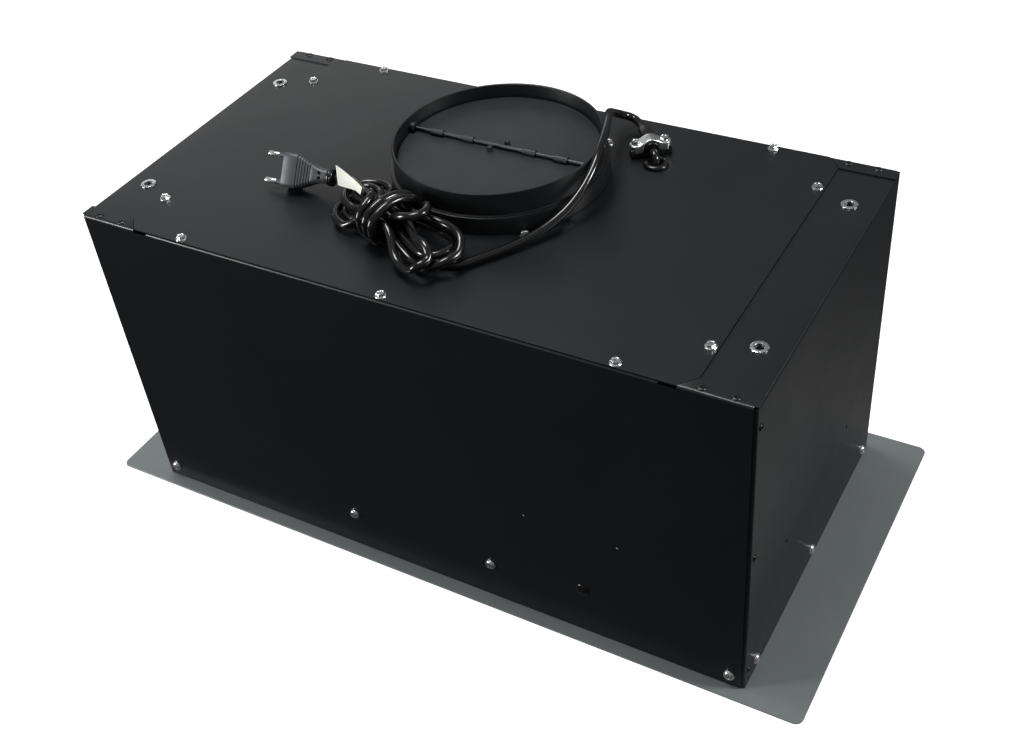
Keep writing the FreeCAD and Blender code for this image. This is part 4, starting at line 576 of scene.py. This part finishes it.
def cross(reach, width, height):
    """The outline of a driver recess, 24 points."""
    half = width / 2
    middle = (reach + half) / 2
    quarter = [(reach, 0), (reach, half), (middle, half), (half, half), (half, middle),
               (half, reach)]
    points = []
    for k in range(4):
        c, s = round(math.cos(math.pi / 2 * k)), round(math.sin(math.pi / 2 * k))
        points += [(x * c - y * s, x * s + y * c, height) for x, y in quarter]
    return points


# ---------------------------------------------------------------- fasteners
def hex_head(bm, matrix, washer):
    """Hex washer head with a dished top and a driver recess."""
    rim = [(0, 0), (washer, 0), (washer, 0.35), (washer - 0.35, 0.75), (3.0, 0.85), (0, 0.85)]
    spun(bm, rim, 32, matrix)
    loops = [hexagon(3.1, 0.8), hexagon(3.1, 2.35), hexagon(2.85, 2.62), circle(2.15, 2.62),
             circle(1.95, 2.3), circle(1.7, 2.3), cross(1.35, 0.6, 2.3), cross(1.2, 0.5, 1.6)]
    laid(bm, matrix, skinned(bm, loops, (True, True)))


def pan_head(bm, matrix):
    """Domed screw head with a driver recess."""
    loops = [circle(4.2, 0), circle(4.2, 0.55), circle(4.0, 1.05), circle(3.6, 1.75),
             circle(3.0, 2.3), circle(2.3, 2.6), cross(1.9, 0.95, 2.62), cross(1.4, 0.75, 1.5)]
    laid(bm, matrix, skinned(bm, loops, (True, True)))


def rivet_nut(bm, matrix):
    """Flange of a rivet nut, with notches round its rim."""
    loops = [circle(4.4, -0.6, 72), notched(5.75, 0.5, 0.0), notched(5.75, 0.5, 0.7),
             notched(5.6, 0.4, 1.0), circle(5.0, 1.18, 72), circle(3.35, 1.18, 72),
             circle(3.05, 0.95, 72), circle(3.0, 0.5, 72)]
    laid(bm, matrix, skinned(bm, loops))


def nut_bore(bm, matrix):
    """The threaded barrel inside a rivet nut."""
    loops = [circle(2.65 if turn % 2 else 3.0, 0.5 - 0.5 * turn, 36) for turn in range(12)]
    laid(bm, matrix, skinned(bm, loops + [circle(2.5, -12.0, 36)], (False, True)))


def blind_rivet(bm, matrix, head):
    """Domed head with its mandrel hole."""
    rim = [(0, 0), (head, 0), (head * 0.97, 0.3), (head * 0.82, 0.72), (head * 0.6, 0.97),
           (head * 0.42, 1.0), (head * 0.34, 0.85), (head * 0.32, 0.3), (0, 0.3)]
    spun(bm, rim, 24, matrix)


def gathered(name, slot, shape, places, replaced=()):
    """One piece with a fastener at every place, each a seat, an outward way, a turn and sizes."""
    bm = bmesh.new()
    for seat, outward, turn, *sizes in places:
        shape(bm, frame_at(seat, outward, turn), *sizes)
    finished(name, bm, slot, replaced=replaced)


WASHER = 4.0
PLATE_EDGE = 4.75     # from the box's side to the top plate's screws
RIVET_EDGE = 4.45
FOOT_SCREW_Z = 12
CORNERS = [(sx, sy) for sx in (-1, 1) for sy in (-1, 1)]

plate_screws = [(x, y) for x in (-166, 0, 166) for y in (FRONT + PLATE_EDGE, REAR - PLATE_EDGE)]
plate_screws += [(sx * 211, BOX_MIDDLE + sy * 92) for sx, sy in CORNERS]
gathered("top_plate_screw_heads", "zinc_screw", hex_head,
         [((x, y, TOP), UP, 0.4 * k, WASHER) for k, (x, y) in enumerate(plate_screws)],
         ("top_plate_screws",))
gathered("blower_screw_heads", "zinc_screw", hex_head,
         [((sx * 54, DUCT_Y + sy * 63, TOP), UP, 0.3 + 0.5 * k, WASHER)
          for k, (sx, sy) in enumerate(CORNERS)],
         ("blower_screws",))

foot = []
for side in (-1, 1):
    foot += [((side * SIDE, y, FOOT_SCREW_Z), (side, 0, 0), 0.2 * y) for y in (112, -4, -114)]
for x in (-245, 245):
    foot.append(((x, FRONT, FOOT_SCREW_Z), (0, -1, 0), 0.5))
    foot.append(((x, REAR, FOOT_SCREW_Z), (0, 1, 0), 0.9))
for x in (-60, 60):
    foot.append(((x, FRONT, 36), (0, -1, 0), 0.75))
    foot.append(((x, REAR, FOOT_SCREW_Z), (0, 1, 0), 0.2))
gathered("foot_screw_heads", "zinc_screw", pan_head, foot, ("panel_screws",))

nuts = [((sx * 237, BOX_MIDDLE + sy * 81, TOP - 1), UP, 0.3) for sx, sy in CORNERS]
gathered("hanging_nuts", "zinc_screw", rivet_nut, nuts, ("suspension_nuts",))
# The bores take the dark pin finish instead of the nut's zinc: painted shade inside the holes.
gathered("hanging_nut_bores_painted_dark", "steel_pin", nut_bore, nuts)

rivets = [((sx * x, y, TOP), UP, 0, 3.0) for sx in (-1, 1) for x in (220.5, 241.5)
          for y in (FRONT + RIVET_EDGE, REAR - RIVET_EDGE)]
rivets += [((side * SIDE, FRONT + 7.25, z), (side, 0, 0), 0, 2.5)
           for side in (-1, 1) for z in (16, 128.5, 240)]
gathered("rivet_heads", "black_rivet", blind_rivet, rivets, ("black_rivets",))

cap_bm = bmesh.new()
dome = [(0, 0), (5.4, 0), (5.4, 0.3), (5.15, 0.65), (4.4, 1.05), (3.0, 1.35), (1.4, 1.5), (0, 1.5)]
spun(cap_bm, dome, 40, frame_at((135, FRONT, 45), (0, -1, 0)))
finished("knockout_cap", cap_bm, "black_plug", replaced=("knockout_plug",))

# ---------------------------------------------------------------- duct collar
CUP_Y = -0.4       # the damper pin's cups and their ribs lie a little in front of the middle
collar_bm = bmesh.new()
collar_outline = [
    (68.7, -1), (71.7, -1), (71.7, 0), (77.6, 0), (78, 0.4), (78, 12.3), (77.8, 12.8), (77.3, 13),
    (75.5, 13.1), (75.1, 13.4), (75, 13.9), (75, 29.2), (74.85, 29.7), (74.45, 30), (73.55, 30),
    (73.15, 29.7), (73, 29.2), (73, 19), (72.8, 18.7), (70.9, 18.7), (70.6, 18.4), (70.6, 17.2),
    (73, 17.2), (73, 2.4), (72.5, 2), (68.7, 2),
]
cup = [(2.0, 0), (3.6, 0), (4.0, 0.4), (4.0, 4.6), (0, 4.6), (0, 0.8), (1.7, 0.8)]
over_duct = Matrix.Translation((0, DUCT_Y, TOP))
spun(collar_bm, collar_outline, 128, over_duct)
for side in (-1, 1):
    spun(collar_bm, cup, 32, over_duct @ frame_at((side * 69, CUP_Y, 22), (side, 0, 0)))
    block(collar_bm, (3.2, 1.6, 7.0), (side * 72.2, CUP_Y, 14.6), over_duct)
# A tab outside the foot, and two marks inside the rim, each turned to its place.
for angle, size, place in ((-26, (4.0, 10.0, 5.0), (79.0, 0, 5.5)),
                           (-100, (0.8, 1.2, 3.0), (72.8, 0, 27.6)),
                           (-95, (0.8, 1.2, 3.0), (72.8, 0, 27.6))):
    block(collar_bm, size, place, over_duct @ Matrix.Rotation(math.radians(angle), 4, "Z"))
finished("duct_spigot_collar", collar_bm, "collar_plastic", replaced=("duct_collar",), crease=28)

# ---------------------------------------------------------------- lead outlet and clamp
SLEEVE_TURN = math.radians(128.3)
SLEEVE_WAY = Vector((math.cos(SLEEVE_TURN), math.sin(SLEEVE_TURN), 0))
SLEEVE_HEIGHT = 6.3      # the sleeve's middle over the top plate
SLEEVE_START = 9.4       # its end and the clamp's middle, from the grommet's middle
CLAMP_PLACE = 16.6
GROMMET = Vector((98, 76, TOP))

grommet_bm = bmesh.new()
spun(grommet_bm, [
    (3.1, -4), (8, -4), (9, -2), (9, -1), (7, -1), (7, 0), (8.7, 0), (9, 0.45), (9, 1.2),
    (8.75, 1.9), (8.1, 2.5), (7.2, 2.85), (6.3, 3.0), (5.6, 2.8), (5.0, 2.2), (4.2, 1.2),
    (3.4, 0.4), (3.1, 0),
], 64, Matrix.Translation(GROMMET))
finished("lead_grommet", grommet_bm, "grommet_rubber", replaced=("cable_grommet",), crease=60)

sleeve_bm = bmesh.new()
sleeve_seat = GROMMET + SLEEVE_WAY * SLEEVE_START + Vector((0, 0, SLEEVE_HEIGHT))
spun(sleeve_bm, [
    (3.05, 0.2), (3.5, 0), (5.0, 0), (5.5, 0.25), (5.75, 0.8), (5.75, 2.0), (5.45, 2.3),
    (5.45, 3.0), (5.75, 3.3), (5.75, 22), (5.6, 24.5), (5.0, 28.5), (4.2, 31.3), (3.8, 31.9),
    (3.4, 32), (3.05, 31.8),
], 48, frame_at(sleeve_seat, SLEEVE_WAY))
finished("lead_sleeve", sleeve_bm, "sleeve_plastic", replaced=("cord_sleeve",), crease=60)

# The clamp's own X runs across the sleeve.
clamp_lie = (Matrix.Translation(GROMMET + SLEEVE_WAY * CLAMP_PLACE)
             @ Matrix.Rotation(SLEEVE_TURN - math.pi / 2, 4, "Z"))
BAR_HALF = 10.1          # half the bar between the middles of its round ends
BAR_WIDE = 5.0           # half its width
BAR_FLAT = 9.7           # height of its top at the screws
BAR_ARCH = 3.95          # how far it arches over the sleeve, and half the arch's length
ARCH_HALF = 10.5
BAR_THICK = 1.4
SKIRT_FOOT = 4.2
SLEEVE_ROOM = 6.15       # radius of the skirt's cut-out
GROOVE = 5.86            # radius of the saddle's groove


def clamp_top(x):
    """Top of the clamp bar, which arches gently over the sleeve."""
    rise = math.cos(math.pi / 2 * min(abs(x), ARCH_HALF) / ARCH_HALF) ** 2
    return BAR_FLAT + BAR_ARCH * rise


def clamp_foot(x):
    """Lower edge of the bar's skirt, which clears the sleeve."""
    if abs(x) < SLEEVE_ROOM:
        return SLEEVE_HEIGHT + math.sqrt(SLEEVE_ROOM ** 2 - x * x)
    return SKIRT_FOOT


def bar_loop(half, height):
    """A loop of 96 points with round ends, half wide, whose height follows a function of x."""
    points = []
    for side in (1, -1):
        for k in range(24):
            x = side * BAR_HALF * (1 - k / 12)
            points.append((x, side * half, height(x)))
        for k in range(24):
            a = math.radians(90 + 7.5 * k)
            x = -side * BAR_HALF + side * half * math.cos(a)
            points.append((x, side * half * math.sin(a), height(x)))
    return points


bar_bm = bmesh.new()
bar_sections = [bar_loop(half, lambda x, down=down: clamp_top(x) - down) for half, down in (
    (0.3, 0), (1.5, 0), (2.8, 0), (4.0, 0), (4.55, 0.15), (4.85, 0.45), (BAR_WIDE, 0.9))]
bar_sections += [bar_loop(BAR_WIDE, clamp_foot),
                 bar_loop(BAR_WIDE - 0.15, lambda x: clamp_foot(x) - 0.1),
                 bar_loop(BAR_WIDE - 0.3, clamp_foot)]
bar_sections += [bar_loop(half, lambda x: clamp_top(x) - BAR_THICK) for half in (4.6, 2.8, 0.3)]
laid(bar_bm, clamp_lie, skinned(bar_bm, bar_sections, (True, True)))
finished("lead_clamp_bar", bar_bm, "clamp_steel", replaced=("cord_clamp",), crease=40)

saddle_bm = bmesh.new()
section = [(-15, 0), (15, 0), (15, SLEEVE_HEIGHT)]
for a in range(0, -181, -12):
    a = math.radians(a)
    section.append((GROOVE * math.cos(a), SLEEVE_HEIGHT + GROOVE * math.sin(a)))
section.append((-15, SLEEVE_HEIGHT))
pushed(saddle_bm, section, -4.5, 4.5, clamp_lie @ Matrix.Rotation(math.pi / 2, 4, "X"))
softened(saddle_bm, 0.5, 3, 40)
finished("lead_clamp_saddle", saddle_bm, "saddle_plastic", replaced=("clamp_saddle",), crease=40)

gathered("clamp_screw_heads", "zinc_screw", hex_head,
         [(clamp_lie @ Vector((s * 10.4, 0, 9.6)), UP, 0.7 * s, 3.1) for s in (-1, 1)],
         ("clamp_screws",))

# ---------------------------------------------------------------- plug
PLUG_NECK = over_plate(-100.3, -41.1, 12.6)
PLUG_TURN = math.radians(186.6)
PLUG_RISE = math.radians(1.0)
PLUG_LEAN = math.radians(35.0)
PIN_SPAN = 19.0
flat_way = Vector((math.cos(PLUG_TURN), math.sin(PLUG_TURN), 0))
ahead = flat_way * math.cos(PLUG_RISE) + Vector(UP) * math.sin(PLUG_RISE)
level = Vector(UP).cross(ahead).normalized()
pin_line = ahead.cross(level) * math.cos(PLUG_LEAN) - level * math.sin(PLUG_LEAN)
across_plug = pin_line.cross(ahead)
plug_axes = Matrix((ahead, across_plug, pin_line)).transposed().to_4x4()
plug_lie = Matrix.Translation(PLUG_NECK) @ plug_axes


def plug_ring(x, thick, width, corner):
    """A rounded rectangle of 48 points across the plug."""
    points = []
    a, b = thick / 2 - corner, width / 2 - corner
    for k in range(4):
        sy, sz = ((1, 1), (-1, 1), (-1, -1), (1, -1))[k]
        for step in range(7):
            turn = math.radians(90 * k + 15 * step)
            points.append((x, sy * a + corner * math.cos(turn), sz * b + corner * math.sin(turn)))
        if k % 2 == 0:
            start, end = (sy * a, sz * (b + corner)), (-sy * a, sz * (b + corner))
        else:
            start, end = (sy * (a + corner), sz * b), (sy * (a + corner), -sz * b)
        for step in range(1, 6):
            spot = Vector(start).lerp(Vector(end), step / 6)
            points.append((x, spot.x, spot.y))
    return points


# The neck, five ribs that widen towards the front, and the front.
plug_rings = [
    plug_ring(0, 8.8, 9.0, 3.8), plug_ring(0.5, 10.0, 10.2, 4.2), plug_ring(1.6, 10.1, 10.4, 4.2),
    plug_ring(4.6, 10.0, 10.4, 3.6), plug_ring(7.0, 10.1, 11.0, 3.2),
    plug_ring(10.0, 10.5, 12.6, 3.0), plug_ring(12.4, 10.8, 14.6, 2.8),
]
for k in range(5):
    x = 13.0 + 2.15 * k
    wide, deep = 15.1 + 1.75 * k, 10.9 + 0.25 * k
    plug_rings += [
        plug_ring(x, deep - 0.5, wide - 0.5, 2.4), plug_ring(x + 0.25, deep + 0.6, wide + 0.6, 2.6),
        plug_ring(x + 1.25, deep + 0.8, wide + 1.2, 2.6),
        plug_ring(x + 1.5, deep - 0.3, wide + 0.4, 2.4),
    ]
plug_rings += [
    plug_ring(23.6, 12.2, 22.4, 2.6), plug_ring(23.8, 13.3, 24.2, 2.8),
    plug_ring(24.3, 13.7, 24.7, 3.0), plug_ring(34.0, 13.7, 24.7, 3.0),
    plug_ring(34.7, 13.2, 24.2, 2.8), plug_ring(35.0, 12.2, 23.2, 2.4),
]
body_bm = bmesh.new()
skinned(body_bm, plug_rings, (True, True))
tidied(body_bm)
# Two windows in each side of the neck, pressed in.
windows = []
for face in body_bm.faces:
    spot = face.calc_center_median()
    if 4.6 < spot.x < 7.0 and abs(spot.y) > 4.8 and 0.7 < abs(spot.z) < 3.4:
        windows.append(face)
bmesh.ops.inset_individual(body_bm, faces=windows, thickness=0.12)
for face in windows:
    inward = -1.4 if face.calc_center_median().y > 0 else 1.4
    bmesh.ops.translate(body_bm, vec=(0, inward, 0), verts=list(face.verts))
laid(body_bm, plug_lie, list(body_bm.verts))
plug_piece = finished("mains_plug_body", body_bm, "plug_plastic", replaced=("plug_body",),
                      crease=32)

tip_bm = bmesh.new()
root_bm = bmesh.new()
for s in (-1, 1):
    lie = plug_lie @ frame_at((0, 0, s * PIN_SPAN / 2), (1, 0, 0))
    spun(tip_bm, [(0, 41.6), (1.95, 41.6), (2.0, 41.8), (2.0, 49.6), (1.9, 50.2), (1.5, 50.75),
                  (0.8, 51.0), (0, 51.0)], 32, lie)
    spun(root_bm, [(0, 34.6), (2.4, 34.6), (2.4, 35.2), (1.9, 35.4), (1.75, 36), (1.75, 41.8),
                   (0, 41.8)], 32, lie)
pin_tips = finished("plug_pin_tips", tip_bm, "plug_metal", replaced=("plug_pins",), crease=50)
pin_roots = finished("plug_pin_roots", root_bm, "plug_plastic", crease=50)

ring_bm = bmesh.new()
spun(ring_bm, [(0, 0), (5.2, 0), (5.9, 0.3), (6.3, 0.9), (6.3, 2.2), (5.9, 2.6), (5.9, 3.0),
               (6.2, 3.4), (6.0, 4.0), (5.2, 4.4), (3.4, 4.5), (0, 4.5)],
     48, plug_lie @ frame_at((0, 0, 0), (-1, 0, 0)))
strain_ring = finished("plug_strain_collar", ring_bm, "cord_jacket",
                       replaced=("plug_strain_ring",), crease=50)

# ---------------------------------------------------------------- paper tag
# The tag's rows from the plug's end to the hank: a top corner, a bottom corner and how far the
# middle bows out.
tag_lines = (
    ((-91.6, -42.0, 25.0), (-89.4, -46.2, 11.6), 0.4),
    ((-84.0, -45.6, 25.6), (-82.6, -50.8, 14.8), 1.0),
    ((-76.5, -50.0, 26.6), (-75.0, -55.4, 18.6), 1.3),
    ((-68.0, -55.2, 28.0), (-66.6, -60.2, 22.4), 1.2),
    ((-60.0, -60.4, 29.4), (-58.6, -64.8, 25.4), 0.9),
    ((-52.2, -65.8, 30.6), (-51.4, -69.8, 27.6), 0.5),
)
TAG_STEPS = 6
BOW_WAY = Vector((0.42, -0.64, 0.64))
tag_bm = bmesh.new()
rows = []
for high, low, bow in tag_lines:
    top, bottom = over_plate(*high), over_plate(*low)
    row = []
    for k in range(TAG_STEPS + 1):
        bowed = BOW_WAY * (bow * math.sin(math.pi * k / TAG_STEPS))
        row.append(tag_bm.verts.new(top.lerp(bottom, k / TAG_STEPS) + bowed))
    rows.append(row)
for first, second in zip(rows, rows[1:]):
    for k in range(TAG_STEPS):
        tag_bm.faces.new((first[k], first[k + 1], second[k + 1], second[k]))
bmesh.ops.subdivide_edges(tag_bm, edges=list(tag_bm.edges), cuts=2, use_grid_fill=True, smooth=1.0)
bmesh.ops.solidify(tag_bm, geom=list(tag_bm.faces), thickness=0.25)
tag = finished("bare_paper_tag", tag_bm, "paper", replaced=("cord_tag",), crease=60)

# ---------------------------------------------------------------- carried-over nodes
for carried in nodes.values():
    if carried.hide_render:
        continue
    carried.data.polygons.foreach_set("use_smooth", [True] * len(carried.data.polygons))
    weld = carried.modifiers.new("Joined corners", "WELD")
    weld.merge_threshold = 0.00001
    split = carried.modifiers.new("Creases", "EDGE_SPLIT")
    split.split_angle = math.radians(28)

tuple(route[0] * MM)

# ---------------------------------------------------------------- camera, light and floor
# The focal length is in the photograph's pixels. The matrix was fitted to its corners and edges.
PHOTO_WIDTH = 1024
FOCAL_PIXELS = 1332.765
SENSOR = 36.0
camera_data = bpy.data.cameras.new("Camera")
camera_data.sensor_fit = "HORIZONTAL"
camera_data.sensor_width = SENSOR
camera_data.lens = SENSOR * FOCAL_PIXELS / PHOTO_WIDTH
camera_data.clip_end = 20
camera = bpy.data.objects.new("Camera", camera_data)
scene.collection.objects.link(camera)
camera.matrix_world = Matrix((
    (0.869862, -0.262935, 0.417379, 0.441584),
    (0.486231, 0.599690, -0.635572, -0.660988),
    (-0.083184, 0.755803, 0.649494, 0.765359),
    (0, 0, 0, 1),
))
scene.camera = camera
scene.view_settings.view_transform = "Standard"

# The pale floor, in metres. It is open under the plate, so that it doesn't shine through the
# front panel's small holes, and it lights nothing, so that the black sides stay black.
FLOOR_REACH = 6.0
FLOOR_DROP = 0.0002
OPENING = (0.27, 0.12)
floor_bm = bmesh.new()
quarters = ((1, 1), (-1, 1), (-1, -1), (1, -1))
skinned(floor_bm, [[(sx * x, sy * y, 0) for sx, sy in quarters]
                   for x, y in ((FLOOR_REACH, FLOOR_REACH), OPENING)])
floor_mesh = bpy.data.meshes.new("floor")
floor_bm.to_mesh(floor_mesh)
floor_bm.free()
floor = bpy.data.objects.new("floor", floor_mesh)
floor.location.z = -FLOOR_DROP
scene.collection.objects.link(floor)
pale = Finish("Pale floor", (0.5, 0.5, 0.5), 0.9, specular=0.1)
pale.put("Emission Color", (1.0, 1.0, 1.0))
pale.put("Emission Strength", 0.84)
floor_mesh.materials.append(pale.material)
floor.visible_glossy = False
floor.visible_diffuse = False

# The studio round the object: dark below, lighter above, with a glow low at the back.
world = bpy.data.worlds.new("Studio")
scene.world = world
world.use_nodes = True
sky = Nodes(world.node_tree)
around = sky.node("TexCoord", {}, {}, "Generated")
upward = sky.node("SeparateXYZ", {}, {"Vector": around}, "Z")
rearward = sky.node("SeparateXYZ", {}, {"Vector": around}, "Y")
levels = sky.node("ValToRGB", {"stops": (
    (0.0, 0.06), (0.46, 0.05), (0.54, 0.12), (0.7, 0.22), (0.82, 0.17), (1.0, 0.3))},
    {"Fac": upward * 0.5 + 0.5})
glow = (upward * -1).over(0.57, 0.78) * rearward.over(0.25, 0.6) * 0.3
lit = sky.node("Mix", {"data_type": "RGBA", "blend_type": "ADD"},
               {"Factor": 1.0, 6: levels, 7: glow}, 2)
background = sky.node("Background", {}, {"Color": lit, "Strength": 1.0})
sky.node("OutputWorld", {}, {"Surface": background}, None)


def soft_light(name, place, aim, width, depth, watts):
    """A soft panel of light that faces a point."""
    data = bpy.data.lights.new(name, "AREA")
    data.shape = "RECTANGLE"
    data.size = width
    data.size_y = depth
    data.energy = watts
    light = bpy.data.objects.new(name, data)
    scene.collection.objects.link(light)
    light.location = place
    light.rotation_euler = (Vector(aim) - Vector(place)).to_track_quat("-Z", "Y").to_euler()


soft_light("Overhead light", (-0.55, 0.1, 2.2), (-0.05, 0, 0.1), 0.9, 0.7, 26)
soft_light("Left light", (-1.5, -1.3, 0.75), (0, 0, 0.2), 0.35, 0.8, 26)
soft_light("Right light", (1.9, 0.5, 1.3), (0.25, 0, 0), 0.5, 0.5, 30)
soft_light("Back soft box", (-1.7, 1.75, 1.15), (0, 0, 0.26), 1.5, 0.8, 3.2)
